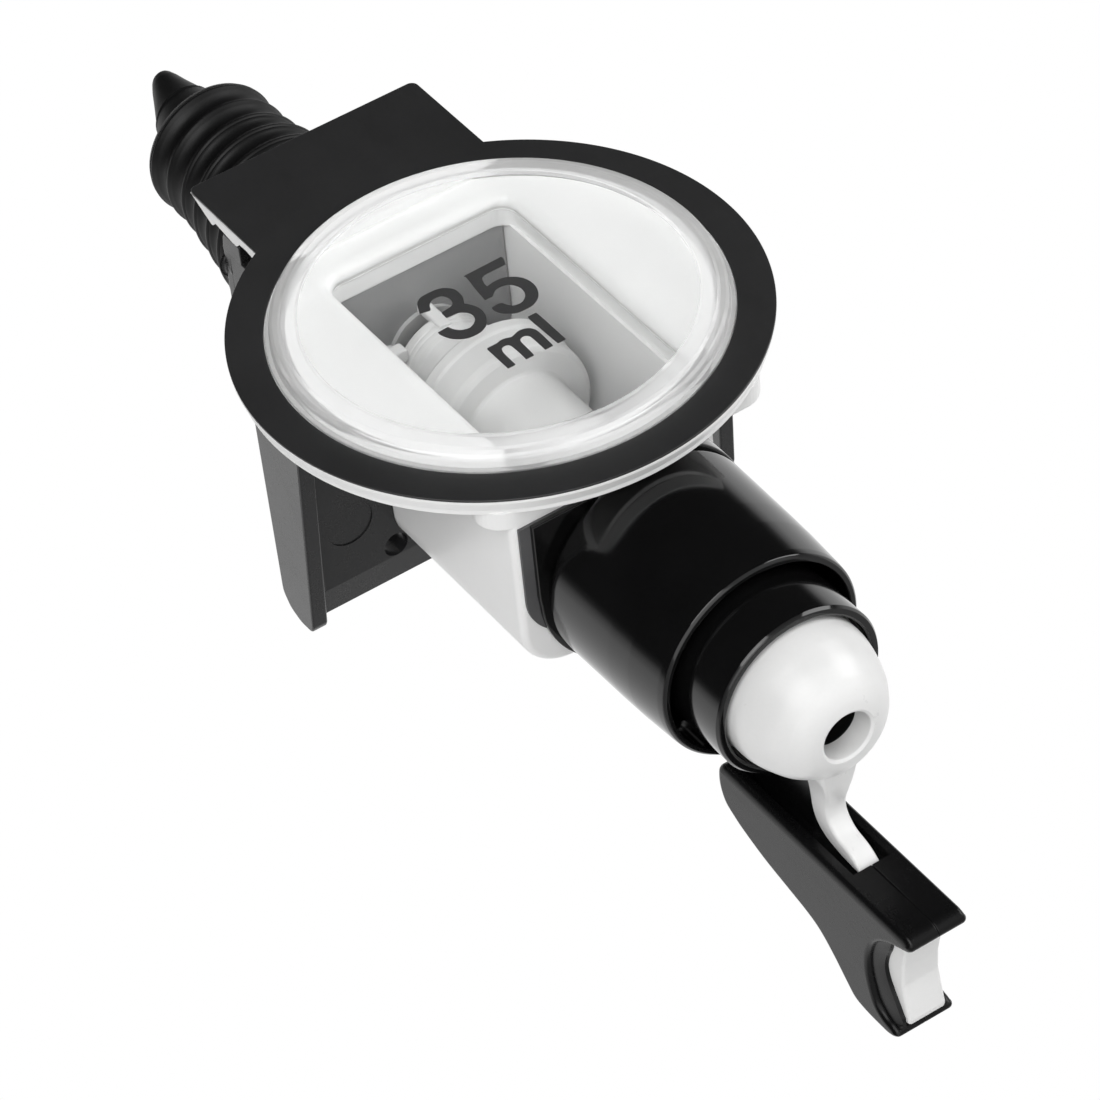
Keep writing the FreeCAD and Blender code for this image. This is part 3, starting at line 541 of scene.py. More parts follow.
def rubber(name, dark, light, rough=(0.45, 0.62), grain=3800.0, spec=0.4):
    mt, nt, bs, vec = new_mat(name)
    drift = noise(nt, vec, 70.0, 4.0, 0.6)
    dust = ramp(nt, noise(nt, vec, 2600.0, 2.0, 0.6), [(0.66, 0.0), (0.80, 0.35)])
    base = ramp(nt, drift, [(0.30, dark), (0.70, light)])
    mix = nt.nodes.new("ShaderNodeMix")
    mix.data_type = "RGBA"
    nt.links.new(dust, mix.inputs["Factor"])
    nt.links.new(base, mix.inputs["A"])
    mix.inputs["B"].default_value = (light[0] * 2.4, light[1] * 2.4, light[2] * 2.4, 1)
    nt.links.new(mix.outputs["Result"], bs.inputs["Base Color"])
    nt.links.new(span(nt, noise(nt, vec, 160.0, 4.0, 0.6), rough[0], rough[1], 0.3, 0.7), bs.inputs["Roughness"])
    bs.inputs["Specular IOR Level"].default_value = spec
    nrm = bump(nt, noise(nt, vec, grain, 3.0, 0.6), 0.35, 0.000018)
    nt.links.new(nrm, bs.inputs["Normal"])
    return mt


m_stopper = rubber("stopper_rubber", (0.0030, 0.0030, 0.0031), (0.0055, 0.0055, 0.0057), (0.42, 0.55), 3800.0, 0.3)
m_seal = rubber("seal_rubber", (0.070, 0.070, 0.072), (0.098, 0.098, 0.100))
m_pale = rubber("pale_rubber", (0.46, 0.46, 0.455), (0.54, 0.54, 0.535), (0.36, 0.48), 3000.0, 0.4)
m_silicone = rubber("clear_silicone", (0.62, 0.62, 0.61), (0.72, 0.72, 0.71), (0.30, 0.42), 3000.0, 0.45)


def steel(name, lo, hi, aniso=0.0):
    mt, nt, bs, vec = new_mat(name)
    v = stretch(nt, vec, 1.0, 1.0, 0.15)
    nt.links.new(ramp(nt, noise(nt, v, 900.0, 4.0, 0.6), [(0.3, (0.46, 0.46, 0.47)), (0.7, (0.66, 0.66, 0.67))]), bs.inputs["Base Color"])
    bs.inputs["Metallic"].default_value = 1.0
    nt.links.new(span(nt, noise(nt, v, 1500.0, 4.0, 0.6), lo, hi, 0.3, 0.7), bs.inputs["Roughness"])
    nt.links.new(bump(nt, noise(nt, v, 2600.0, 3.0, 0.6), 0.3, 0.00001), bs.inputs["Normal"])
    return mt


m_steel = steel("screw_steel", 0.24, 0.40)
m_spring = steel("spring_steel", 0.20, 0.34)


def clear_plastic(name, rough_lo, rough_hi, tint, milk=0.0, scr=0.05):
    """Clear moulded plastic that lets lamps through; milk adds a white haze in the wall."""
    mt, nt, bs, vec = new_mat(name)
    out = next(n for n in nt.nodes if n.type == "OUTPUT_MATERIAL")
    bs.inputs["Transmission Weight"].default_value = 1.0
    bs.inputs["IOR"].default_value = 1.46
    nt.links.new(ramp(nt, noise(nt, vec, 60.0, 3.0, 0.6), [(0.3, tint), (0.7, tuple(min(1.0, c * 1.02) for c in tint))]), bs.inputs["Base Color"])
    nt.links.new(span(nt, noise(nt, vec, 130.0, 5.0, 0.65, 1.0), rough_lo, rough_hi, 0.3, 0.75), bs.inputs["Roughness"])
    sc = noise(nt, stretch(nt, vec, 1.0, 1.0, 0.05), 1100.0, 2.0, 0.7, 0.5)
    sc = ramp(nt, sc, [(0.64, 0.0), (0.70, 1.0)])
    nrm = bump(nt, sc, scr, 0.000006, bump(nt, noise(nt, vec, 45.0, 1.0, 0.4), 0.03, 0.0003))
    nt.links.new(nrm, bs.inputs["Normal"])
    top = bs.outputs[0]
    if milk > 0:
        haze = nt.nodes.new("ShaderNodeBsdfDiffuse")
        haze.inputs["Color"].default_value = (0.92, 0.92, 0.92, 1)
        mh = nt.nodes.new("ShaderNodeMixShader")
        mh.inputs[0].default_value = milk
        nt.links.new(top, mh.inputs[1])
        nt.links.new(haze.outputs[0], mh.inputs[2])
        top = mh.outputs[0]
    lp = nt.nodes.new("ShaderNodeLightPath")
    tr = nt.nodes.new("ShaderNodeBsdfTransparent")
    tr.inputs[0].default_value = (0.93, 0.93, 0.93, 1)
    mx = nt.nodes.new("ShaderNodeMixShader")
    nt.links.new(lp.outputs["Is Shadow Ray"], mx.inputs[0])
    nt.links.new(top, mx.inputs[1])
    nt.links.new(tr.outputs[0], mx.inputs[2])
    nt.links.new(mx.outputs[0], out.inputs[0])
    return mt


m_lens = clear_plastic("clear_lens", 0.0, 0.03, (0.97, 0.975, 0.975))
m_rim = clear_plastic("clear_lens_rim", 0.02, 0.05, (0.96, 0.965, 0.965), milk=0.34, scr=0.1)

# ---------------------------------------------------------------------------
# dial side
# ---------------------------------------------------------------------------
a_tab = math.degrees(math.asin(21.5 / 42.5))
s = Shell()
badge_out = arc(0, 0, 42.5, 90 + a_tab, 450 - a_tab, 220)
badge_out = badge_out + rounded([(21.5, 50.0), (21.5, 57.1), (-21.5, 57.1), (-21.5, 50.0)], [0, 1.3, 1.3, 0], 8, closed=False)
prism(s, [badge_out, circle(0, 0, 36.45, 200)], 0.0, 0.4, "y", b0=0.13, b1=0.05, seg=4)
make("badge_face", s, BODY, m_badge, ["badge_plate"])

s = Shell()
ring = rounded([(36.45, 0.4), (42.45, 0.4), (42.45, 0.95), (41.7, 2.7), (33.3, 2.7), (33.3, 1.5), (36.45, 1.5)], [0.05, 0.15, 0.25, 0, 0, 0, 0.1], 5)
lathe(s, ring, closed=True, cx=0, cy=0, n=240, axis="y")
win = rect(-17.0, 17.0, -30.0, 24.0, 3.2, 14)


def dial_disc(s, outer, hole, y0, y1, reach, deep, seg=10):
    """Flat disc whose opening is rolled over: the edge curves back over reach by deep."""
    hole = clean(hole)
    if area(hole) > 0:
        hole = hole[::-1]
    rings = [(reach + 0.08, y0)]
    for k in range(seg + 1):
        t = math.pi / 2 * k / seg
        rings.append((reach * (1 - math.sin(t)), y0 + deep * (1 - math.cos(t))))
    rings += [(0.0, y1 - 0.06), (0.0, y1)]
    verts, faces = [], []
    n = len(hole)
    for ins, w in rings:
        for p in (offset(hole, ins) if ins > 0 else hole):
            verts.append((p[0], w, p[1]))
    for i in range(len(rings) - 1):
        for j in range(n):
            k = (j + 1) % n
            faces.append((i * n + j, i * n + k, (i + 1) * n + k, (i + 1) * n + j))
    outer = clean(outer)
    if area(outer) < 0:
        outer = outer[::-1]
    base = len(verts)
    m_ = len(outer)
    for w in (y0, y1):
        for p in outer:
            verts.append((p[0], w, p[1]))
    for j in range(m_):
        k = (j + 1) % m_
        faces.append((base + j, base + k, base + m_ + k, base + m_ + j))
    front = [Vector((p[0], p[1], 0)) for p in outer], [Vector((p[0], p[1], 0)) for p in offset(hole, reach + 0.08)]
    ids = list(range(base, base + m_)) + list(range(0, n))
    for t in tessellate_polygon(list(front)):
        faces.append(tuple(ids[q] for q in t))
    back_ = [Vector((p[0], p[1], 0)) for p in outer], [Vector((p[0], p[1], 0)) for p in hole]
    last = (len(rings) - 1) * n
    ids = list(range(base + m_, base + 2 * m_)) + list(range(last, last + n))
    for t in tessellate_polygon(list(back_)):
        faces.append(tuple(ids[q] for q in t))
    s.add(verts, faces)


dial_disc(s, circle(0, 0, 33.42, 200), win, 1.0, 2.7, 2.3, 1.45)
TAB_WEDGE = [(0.4, 57.0), (2.4, 52.8), (3.5, 50.6), (2.35, 49.4), (2.7, 47.3), (3.1, 44.4), (3.1, 43.2), (2.05, 42.1), (2.0, 40.0), (2.3, 38.1), (2.3, 30.0), (0.4, 30.0)]
prism(s, [rounded(TAB_WEDGE, [0.1, 0.3, 0.35, 0.25, 0.3, 0.3, 0.3, 0.3, 0.3, 0.3, 0, 0], 5)], -21.45, 21.45, "x", b0=0.16, b1=0.16)
make("dial_bezel", s, BODY, m_white, ["front_bezel"])

s = Shell()
LENS = [(0, -3.0), (30.9, -3.0), (31.4, -2.75), (33.6, -2.7), (34.1, -2.5), (34.9, -2.35), (35.4, -1.9),
        (35.55, -1.3), (35.6, -0.25), (36.3, -0.2), (36.3, 1.0), (33.5, 1.0), (33.5, -0.4), (33.0, -1.0),
        (31.0, -1.2), (0, -1.2)]
lens = rounded(LENS, [0, 0.25, 0.2, 0.25, 0.25, 0.4, 0.4, 0.3, 0.12, 0.15, 0.1, 0.1, 0.2, 0.3, 0.3, 0], 5, closed=False)
lathe(s, lens, closed=False, cx=0, cy=0, n=240, axis="y", mat_of=lambda r, h: 1 if r > 31.15 else 0)
make("lens_window", s, BODY, [m_lens, m_rim], ["lens_cover"])

# the plain capacity figure printed on the lens, one outline per stroke group, (x, z)
THREE = [(-11.40, 4.60), (-11.0, 5.50), (-10.5, 6.60), (-9.9, 7.30), (-9.0, 7.76), (-7.6, 7.84), (-6.4, 7.76), (-5.4, 7.44), (-4.6, 6.76), (-4.06, 6.0),
         (-3.94, 5.1), (-4.0, 4.0), (-4.26, 3.2), (-4.76, 2.2), (-4.2, 1.4), (-3.7, 0.4), (-3.52, -0.8), (-3.7, -2.0), (-4.1, -3.0), (-4.8, -4.0),
         (-5.6, -4.6), (-6.6, -4.96), (-7.6, -5.0), (-8.8, -4.84), (-9.8, -4.3), (-10.7, -3.5), (-11.3, -2.5), (-11.64, -1.4), (-11.62, -0.85),
         (-9.7, -0.76), (-9.54, -1.3), (-9.2, -2.0), (-8.5, -2.7), (-7.6, -3.02), (-7.0, -3.0), (-6.2, -2.6), (-5.6, -2.0), (-5.26, -1.2), (-5.3, -0.4),
         (-5.6, 0.2), (-6.1, 0.7), (-6.7, 1.04), (-8.0, 1.1), (-8.72, 1.2), (-8.66, 2.66), (-8.0, 2.76), (-7.0, 2.9), (-6.3, 3.2), (-5.9, 3.9),
         (-5.84, 4.6), (-6.0, 5.3), (-6.4, 5.9), (-7.1, 6.16), (-8.0, 6.1), (-8.7, 5.7), (-9.2, 5.1), (-9.44, 4.5), (-9.66, 4.24)]
FIVE = [(-1.04, 7.56), (-0.8, 7.70), (5.82, 7.84), (5.84, 7.2), (5.4, 5.9), (2.0, 5.9), (1.2, 5.76), (0.7, 5.4), (0.4, 4.6), (0.24, 4.0), (0.24, 3.3),
        (0.9, 3.5), (1.8, 3.6), (3.0, 3.5), (4.0, 3.1), (4.9, 2.4), (5.6, 1.5), (6.0, 0.4), (6.1, -0.8), (5.9, -2.0), (5.3, -3.3), (4.4, -4.2), (3.2, -4.8),
        (1.8, -4.9), (0.4, -4.76), (-0.6, -4.24), (-1.4, -3.5), (-1.9, -2.7), (-2.1, -1.8), (-2.0, -1.3), (-0.8, -1.2), (-0.16, -1.44), (0.2, -2.2),
        (0.7, -2.9), (1.5, -3.2), (2.4, -3.14), (3.3, -2.5), (3.86, -1.6), (4.06, -0.6), (3.94, 0.2), (3.5, 1.1), (2.8, 1.7), (1.8, 1.96), (0.7, 1.76),
        (0.0, 1.2), (-0.4, 0.86), (-1.84, 0.9), (-1.76, 1.4), (-1.5, 4.0), (-1.2, 6.0)]
EM = [(-7.96, -8.9), (-7.8, -8.7), (-6.1, -8.7), (-5.4, -8.5), (-4.7, -8.5), (-4.1, -8.7), (-3.5, -8.94), (-2.8, -8.7), (-2.0, -8.44), (-1.2, -8.5),
      (-0.4, -8.84), (0.1, -9.4), (0.36, -10.2), (0.4, -12.0), (0.3, -14.6), (-1.16, -14.6), (-1.16, -11.0), (-1.36, -10.3), (-1.8, -9.96), (-2.3, -9.96),
      (-2.8, -10.24), (-3.04, -11.0), (-3.1, -13.0), (-3.2, -14.6), (-4.64, -14.6), (-4.6, -13.0), (-4.64, -11.0), (-4.76, -10.3), (-5.1, -10.0),
      (-5.7, -9.96), (-6.16, -10.2), (-6.44, -10.9), (-6.54, -12.0), (-6.58, -14.6), (-7.96, -14.6)]
ELL = [(1.04, -6.6), (2.56, -6.6), (2.64, -8.0), (2.64, -14.6), (1.16, -14.6), (0.96, -8.0)]


def corners(pts, sharp_at, step=0.25):
    """Smooth outline through the points that keeps the listed corners."""
    n = len(pts)
    out = []
    marks = sorted(sharp_at)
    for a, b in zip(marks, marks[1:] + [marks[0] + n]):
        run = [pts[k % n] for k in range(a, b + 1)]
        out += curve(run, step)[:-1] if len(run) > 2 else [run[0]]
    return out


def sharp_corners(pts, limit=38.0):
    n = len(pts)
    out = []
    for i in range(n):
        a, p, b = Vector(pts[i - 1]), Vector(pts[i]), Vector(pts[(i + 1) % n])
        if math.degrees((p - a).angle(b - p)) > limit:
            out.append(i)
    return out


s = Shell()
for glyph in (THREE, FIVE, EM, ELL):
    line = corners(glyph, sharp_corners(glyph))
    prism(s, [rounded(line, 0.14, 4)], -3.1, -3.0, "y", b0=0.0, b1=0.0)
make("capacity_print", s, BODY, m_print, ["capacity_mark"])

# ---------------------------------------------------------------------------
# measuring chamber
# ---------------------------------------------------------------------------
s = Shell()
fl = circle(0, 0, 41.6, 240)
slots = [rect(-40.0, -37.0, -4.2, 9.3, 0.3, 3), rect(37.0, 40.0, -4.2, 9.3, 0.3, 3)]
prism(s, [fl, win] + slots, 3.45, 3.7, "y", b0=0.0, b1=0.18, seg=4)
prism(s, [fl, rect(-18.9, 18.9, -31.9, 25.9, 4.9, 12)], 2.7, 3.45, "y", b0=0.0, b1=0.0)
# thicker front wall with a screw boss at each corner
BX, BZ, BR = 20.9, 30.8, 4.7
ac = math.degrees(math.acos(1.6 / BR))
slab = arc(-BX, -BZ, BR, 180 - ac, 270, 18) + arc(BX, -BZ, BR, -90, ac, 18)
slab += arc(BX, BZ, BR, -ac, 90, 18) + arc(-BX, BZ, BR, 90, 180 + ac, 18)
slab = rounded(slab, 0.5, 3)
prism(s, [slab, win], 3.4, 6.9, "y", b0=0.0, b1=0.35, seg=5)


def body_plan(right):
    """Plan of the chamber, anticlockwise; the left side is the same at every height."""
    left = [(-11.1, 37.9)] + arc(-13.5, 28.9, 9.0, 90, 180, 24) + [(-22.5, 10.0)]
    k = math.degrees(math.asin(14.8 / 18.5))
    if right == "wide":
        kr = math.degrees(math.asin(7.9 / 18.5))
        side = rounded([(22.5, 5.6), (22.5, 31.0), (18.5 * math.cos(math.radians(kr)), 31.0)], [0, 2.2, 0], 8, closed=False)
        back = arc(0, VY, 18.5, kr, 180 - k, 60)[1:]
        return side + back + left[1:] + [(-22.5, 5.6)]
    if right == "foot":
        side = [(5.9, 5.6), (5.93, 6.95)] + arc(0, VY, 16.85, -73.4, 90, 48)[1:]
        back = arc(0, VY, 18.5, 90, 180 - k, 24)
        return side + back + left[1:] + [(-22.5, 5.6)]
    if right == "under":
        side = [(9.4, 5.6), (9.43, 6.95)] + arc(0, VY, 18.7, -59.6, -18.92, 24)[1:]
        return side + arc(0, VY, 18.5, -18.92, 180 - k, 76)[1:] + left[1:] + [(-22.5, 5.6)]
    side = [(17.5, 5.6)]
    back = arc(0, VY, 18.5, -18.92, 180 - k, 76)
    return side + back + left[1:] + [(-22.5, 5.6)]


inner = [(-16.4, 6.4), (-16.4, VY)] + arc(0, VY, 16.4, 180, 0, 60)[1:-1] + [(16.4, VY), (16.4, 6.4)]
for kind, z0, z1 in (("slim", -30.0, 14.0), ("wide", 14.0, 30.0)):
    plan = body_plan(kind)
    ring_ = [(plan[0][0], 6.4)] + plan[1:-1] + [(-22.5, 6.4)] + inner
    prism(s, [ring_], z0, z1, "z", b0=0.0, b1=0.0)
prism(s, [body_plan("slim")], -30.35, -30.0, "z", b0=0.0, b1=0.0)
prism(s, [body_plan("under")], -31.0, -30.35, "z", b0=0.0, b1=0.0)
prism(s, [body_plan("foot")], -35.5, -31.0, "z", b0=1.2, b1=0.0, seg=8)
# faces inside the cavity take the darker white material: painted shade on the same plastic
for i, f in enumerate(s.f):
    c = [sum(s.v[k][j] for k in f) / len(f) for j in range(3)]
    painted_shade_face = abs(c[0]) < 16.45 and -30.05 < c[2] < 30.0 and c[1] > 6.45 and (c[1] < VY or math.hypot(c[0], c[1] - VY) < 16.5)
    if painted_shade_face:
        s.mi[i] = 1
make("measuring_chamber", s, BODY, [m_white, m_cavity_painted_shade], ["chamber_housing"])


# ---------------------------------------------------------------------------
# inlet cap
# ---------------------------------------------------------------------------
s = Shell()
cap_loop = rounded([(-21, 7.0), (21, 7.0), (21, 42.4), (-21, 42.4)], [0.5, 0.5, 9.0, 9.0], 14)
wells = [circle(x, y, 2.5, 32) for x, y in ((18.6, 11.0), (-18.6, 11.0), (18.6, 27.4), (-18.6, 27.4))]
prism(s, [cap_loop], 30.0, 47.0, "z", b0=0.25, b1=0.0)
prism(s, [cap_loop] + wells, 47.0, 49.2, "z", b0=0.0, b1=0.7, seg=6)
prism(s, [rounded([(3.7, 43.4), (7.6, 43.4), (7.6, 48.9), (6.8, 49.0), (4.7, 48.6), (3.7, 48.1)], [0.3, 0, 0, 0.4, 0.4, 0.4], 5)], -21.0, 21.0, "x", b0=0.25, b1=0.25)
plug = [(-16.3, 6.7), (-16.3, VY)] + arc(0, VY, 16.3, 180, 0, 60)[1:-1] + [(16.3, VY), (16.3, 6.7)]
# the plug's faces take the grey material: painted haze and reflection on a black part
prism(s, [plug], 24.2, 30.4, "z", b0=0.3, b1=0.0, mat=1)
lathe(s, rounded([(9.0, 49.0), (10.5, 49.0), (10.5, 52.2), (9.0, 52.2)], 0.2, 3), n=96)
make("cap_block", s, BODY, [m_body, m_plug_painted_haze], ["inlet_cap"])

# ---------------------------------------------------------------------------
# bottle stopper
# ---------------------------------------------------------------------------
CRESTS = [(54.2, 16.9), (59.2, 16.0), (64.3, 14.8), (69.4, 13.8), (74.6, 13.0), (79.7, 12.2), (84.7, 12.0), (89.6, 12.1)]
prof = [(10.6, 52.3), (10.6, 49.25), (16.2, 49.25), (16.6, 49.5)]
for i, (z, r) in enumerate(CRESTS):
    if i:
        zp, rp = CRESTS[i - 1]
    else:
        zp, rp = 49.6, 17.0
    z0, z1 = zp + 0.5, z - 0.5
    for k in range(1, 14):
        t = k / 14.0
        rm = rp + (r - rp) * t
        depth = 1.15 * math.sin(math.pi * t) ** 0.8
        prof.append((rm - depth, z0 + (z1 - z0) * t))
    for t in (-60, -30, 0, 30, 60):
        prof.append((r - 0.55 + 0.55 * math.cos(math.radians(t)), z + 0.55 * math.sin(math.radians(t))))
prof += [(12.0, 90.2), (11.7, 90.9), (11.1, 91.5), (10.2, 92.0), (9.2, 92.4), (8.5, 92.75), (8.15, 93.2)]
TIP = [(0.0, 0.0, 8.0, 93.5), (0.05, -0.3, 7.35, 95.0), (0.12, -0.65, 6.5, 97.0), (0.2, -1.0, 5.6, 98.8), (0.38, -1.6, 4.65, 101.0), (0.6, -2.3, 3.7, 103.2), (0.82, -2.95, 2.85, 105.3), (1.0, -3.45, 2.15, 106.7)]
for dx, dy, r, z in TIP:
    prof.append((r, z))
prof += [(1.9, 107.05), (1.55, 107.15), (1.3, 106.9), (1.25, 105.5), (1.3, 100.0), (5.7, 99.0), (5.7, 90.0), (5.95, 89.0), (5.95, 52.3)]


def lean(h):
    if h <= 93.5:
        return (0.0, 0.0)
    t = min(1.0, (h - 93.5) / 13.7)
    return (1.0 * t ** 1.4, -3.5 * t ** 1.12)


s = Shell()
prof2 = []
for i, p in enumerate(prof):
    prof2.append(p)
lathe(s, prof2, closed=True, n=200, shift=lean, support=False)
make("ribbed_stopper", s, BODY, m_stopper, ["bottle_stopper"], sharp=40)

# ---------------------------------------------------------------------------
# valve tube in the chamber
# ---------------------------------------------------------------------------
F = -30.0
VT = [(5.2, -46.0), (9.8, -46.0), (9.8, F), (12.0, F), (12.0, F + 1.4), (10.6, F + 1.9), (9.8, F + 2.7), (9.8, -1.9), (10.3, -1.6), (13.5, -1.4),
      (14.3, -0.9), (14.5, 0.0), (14.5, 4.2), (14.9, 4.6), (14.9, 6.3), (14.4, 6.9), (8.2, 7.1), (7.4, 7.6), (7.4, 15.9), (8.1, 16.5), (8.1, 17.3), (7.95, 17.5), (8.1, 17.7),
      (8.1, 18.3), (7.95, 18.5), (8.1, 18.7), (8.1, 19.9), (7.9, 20.4), (6.9, 20.4), (6.9, 8.6), (6.0, 7.4), (6.0, -29.4), (8.6, -31.6), (8.6, -40.0),
      (7.5, -40.8), (7.5, -43.9), (5.2, -43.9)]
s = Shell()
lathe(s, rounded(VT, 0.25, 4), n=144)
for k in range(5):
    a = math.radians(-90 + 72 * k)
    def place(u, v, w, a=a):
        return (u * -math.sin(a) + v * math.cos(a), VY + u * math.cos(a) + v * math.sin(a), w)
    prism(s, [rect(-1.1, 1.1, 7.0, 8.6, 0.35, 4)], 17.2, 24.2, b0=0.2, b1=0.2, fmap=place)
prism(s, [rect(-16.2, -6.9, 16.5, 19.1, 0.5, 4)], 18.2, 20.4, b0=0.3, b1=0.3)
# the tube takes the darker inner white: painted shade
make("valve_tube_detail", s, BODY, m_inner_painted_shade, ["valve_tube"])

# ---------------------------------------------------------------------------
# valve barrel
# ---------------------------------------------------------------------------
s = Shell()
upper = rounded([(9.83, -36.0), (17.3, -36.0), (18.72, -38.3), (18.7, -40.0), (18.583, -47.6), (16.5, -47.6), (16.5, -39.3), (9.83, -39.3)],
                [0.1, 0.6, 1.2, 0, 0, 0, 0.4, 0.1], 8)
lathe(s, upper, n=200)
low_wall = [(18.583, -47.6), (18.5, -53.0), (18.35, -58.0), (17.95, -65.0), (17.8, -66.1), (17.4, -66.5), (16.7, -66.5), (16.5, -66.2), (16.5, -47.6)]
low_wall = rounded(low_wall, [0, 6, 6, 3, 0.4, 0.3, 0.2, 0.2, 0], 6)
lathe(s, low_wall, n=190, a0=90 + 5.1, a1=450 - 5.1)
# thin flange that reaches out under the chamber's left side
wing = [(-7.12, 7.0), (-19.6, 7.0), (-19.6, 21.6)] + arc(0, VY, 19.4, 180, 134.5, 30)[1:]
wing += arc(0, VY, 17.35, 127.0, 246.2, 60)
prism(s, [wing], -36.9, -36.0, "z", b0=0.2, b1=0.1, seg=4)
# collar that grips the chamber's foot on the right
neck = rounded([(16.95, -36.6), (18.9, -36.6), (18.9, -31.0), (16.95, -31.0)], [0, 0.4, 0.25, 0.2], 4)
lathe(s, neck, n=110, a0=-57.6, a1=89.2)
make("barrel_shell", s, BODY, m_gloss, ["valve_barrel"])

# ---------------------------------------------------------------------------
# mounting plate
# ---------------------------------------------------------------------------
s = Shell()
G = 0.12
RB = 18.5 + G
cor = [(-13.5 - (9 + G) * math.cos(math.radians(q)), 28.9 + (9 + G) * math.sin(math.radians(q))) for q in range(0, 91, 5)]
kc = math.degrees(math.asin((37.6 - 28.9) / (9 + G)))
cor_a = [p for p in cor if p[1] < 37.55] + [(-13.5 - (9 + G) * math.cos(math.radians(kc)), 37.6)]
cor_b = [cor_a[-1]] + [p for p in cor if p[1] > 37.65]
ka = math.degrees(math.asin(14.5 / RB))
kb = math.degrees(math.asin((37.9 + G - VY) / RB))
web_l = [(-37.6, 3.8), (-22.62, 3.8)] + cor_a + [(-37.6, 37.6)]
web_r = [(22.7, 3.8), (37.6, 3.8), (37.6, 37.6)] + arc(0, VY, RB, ka, -18.86, 30) + [(17.62, 7.05), (22.7, 7.05)]
web_b = [(-37.6, 37.6)] + cor_b + arc(0, VY, RB, 180 - kb, ka, 40) + [(37.6, 37.6), (37.6, 43.0), (-37.6, 43.0)]


def bevelled(u, v, w):
    return (u, v, w + max(0.0, (v - 37.6) / 5.4) * (3.3 - w) / 2.8)


for loop, sx in ((web_l, -1), (web_r, 1)):
    hole = circle(sx * 22.9, 35.4, 2.15, 56)
    prism(s, [loop, hole, circle(sx * 30.5, 26.4, 4.2, 48)], 0.5, 0.72, "z", b0=0.0, b1=0.0)
    prism(s, [loop, hole], 0.72, 3.3, "z", b0=0.0, b1=0.0)
    # boss on top round the hole, cut back beside the chamber
    boss = []
    for q in range(0, 360, 6):
        bx, by = sx * 22.9 + 4.2 * math.cos(math.radians(q)), 35.4 + 4.2 * math.sin(math.radians(q))
        if sx < 0 and math.hypot(bx + 13.5, by - 28.9) < 9.3 and bx < -13.5:
            f = 9.3 / math.hypot(bx + 13.5, by - 28.9)
            bx, by = -13.5 + (bx + 13.5) * f, 28.9 + (by - 28.9) * f
        if sx > 0 and math.hypot(bx, by - VY) < 18.8:
            f = 18.8 / math.hypot(bx, by - VY)
            bx, by = bx * f, VY + (by - VY) * f
        boss.append((bx, by))
    prism(s, [boss, hole], 3.2, 4.5, "z", b0=0.0, b1=0.0)
prism(s, [web_b], 0.5, 3.3, "z", b0=0.0, b1=0.0, fmap=bevelled)
prism(s, [rounded([(-12.5, 42.0), (12.5, 42.0), (12.5, 46.6), (-12.5, 46.6)], [0, 0, 3.0, 3.0], 8)], 1.2, 3.3, "z", b0=0.4, b1=0.4)
LEG_L = [(3.6, -3.9), (43.0, -0.35), (44.2, 0.2), (44.35, 3.4), (43.2, 6.4), (40.7, 8.2), (3.6, 9.0)]
LEG_R = [(3.6, -3.9), (52.6, -1.6), (53.8, -0.7), (53.9, 3.4), (52.9, 6.3), (50.4, 8.0), (3.6, 9.0)]
legr = [0.3, 2.0, 1.5, 4.0, 3.0, 3.0, 0.3]
prism(s, [rounded(LEG_L, legr, 6)], -39.9, -37.1, "x", b0=0.35, b1=0.35, seg=5)
prism(s, [rounded(LEG_R, legr, 6)], 37.1, 39.9, "x", b0=0.35, b1=0.35, seg=5)
for sx in (-1, 1):
    for z0, sz in ((0.5, -1), (3.3, 1)):
        f0 = [(37.2, z0 + sz * -0.1), (37.2, z0 + sz * 1.0)] + [(37.1 - 0.9 * (1 - math.cos(math.radians(t))), z0 + sz * 0.9 * (1 - math.sin(math.radians(t)))) for t in (10, 30, 50, 70, 90)] + [(36.1, z0 + sz * -0.1)]
        prism(s, [[(sx * u, v) for u, v in f0]], 4.2, 37.4, fmap=lambda u, v, w: (u, w, v), b0=0, b1=0)
make("bracket_plate", s, BODY, m_body, ["mounting_plate"])

# ---------------------------------------------------------------------------
# sleeve, nozzle, strap
# ---------------------------------------------------------------------------
s = Shell()
SL = [(12.75, -48.6), (16.42, -48.6), (16.42, -52.4), (15.1, -53.6), (14.8, -55.0), (14.8, -75.4), (14.45, -75.95), (13.6, -76.0), (13.2, -75.7), (13.2, -67.0), (12.75, -67.0)]
lathe(s, rounded(SL, [0.2, 0.3, 0.3, 0.4, 2.0, 0.2, 0.15, 0.2, 0.15, 0.1, 0.1], 5), n=192)
make("sleeve_shell", s, ACT, m_gloss, ["slide_sleeve"])

s = Shell()
outer = curve([(12.6, -74.0), (12.5, -77.0), (12.15, -79.0), (11.7, -80.6), (10.75, -83.2), (9.25, -85.6)], 0.5)
NZ = [(9.6, -67.05), (13.13, -67.05), (13.13, -68.6), (12.6, -68.7), (12.6, -70.0), (13.13, -70.1), (13.13, -71.6), (12.6, -72.4)]
NZ = rounded(NZ, 0.12, 3, closed=False) + outer + curve([(9.25, -85.6), (8.1, -86.75), (6.5, -87.6), (4.95, -87.97)], 0.35)[1:]
NZ += rounded([(4.75, -88.0), (4.25, -87.75), (4.25, -83.4), (9.6, -74.2)], [0.3, 0.2, 0.25, 0.3], 4, closed=False)
NZ = [(r, -83.9) if abs(h + 83.4) < 0.3 and r < 4.6 else (r, h) for r, h in NZ]
# faces of the bore take the near-black material: painted shade
lathe(s, NZ, n=192, mat_of=lambda r, h: 1 if (-83.38 < h < -67.3 and r < 9.75) else 0)
lathe(s, rounded([(2.0, -73.6), (3.6, -73.6), (3.6, -69.0), (2.0, -69.0)], 0.2, 3), n=64)
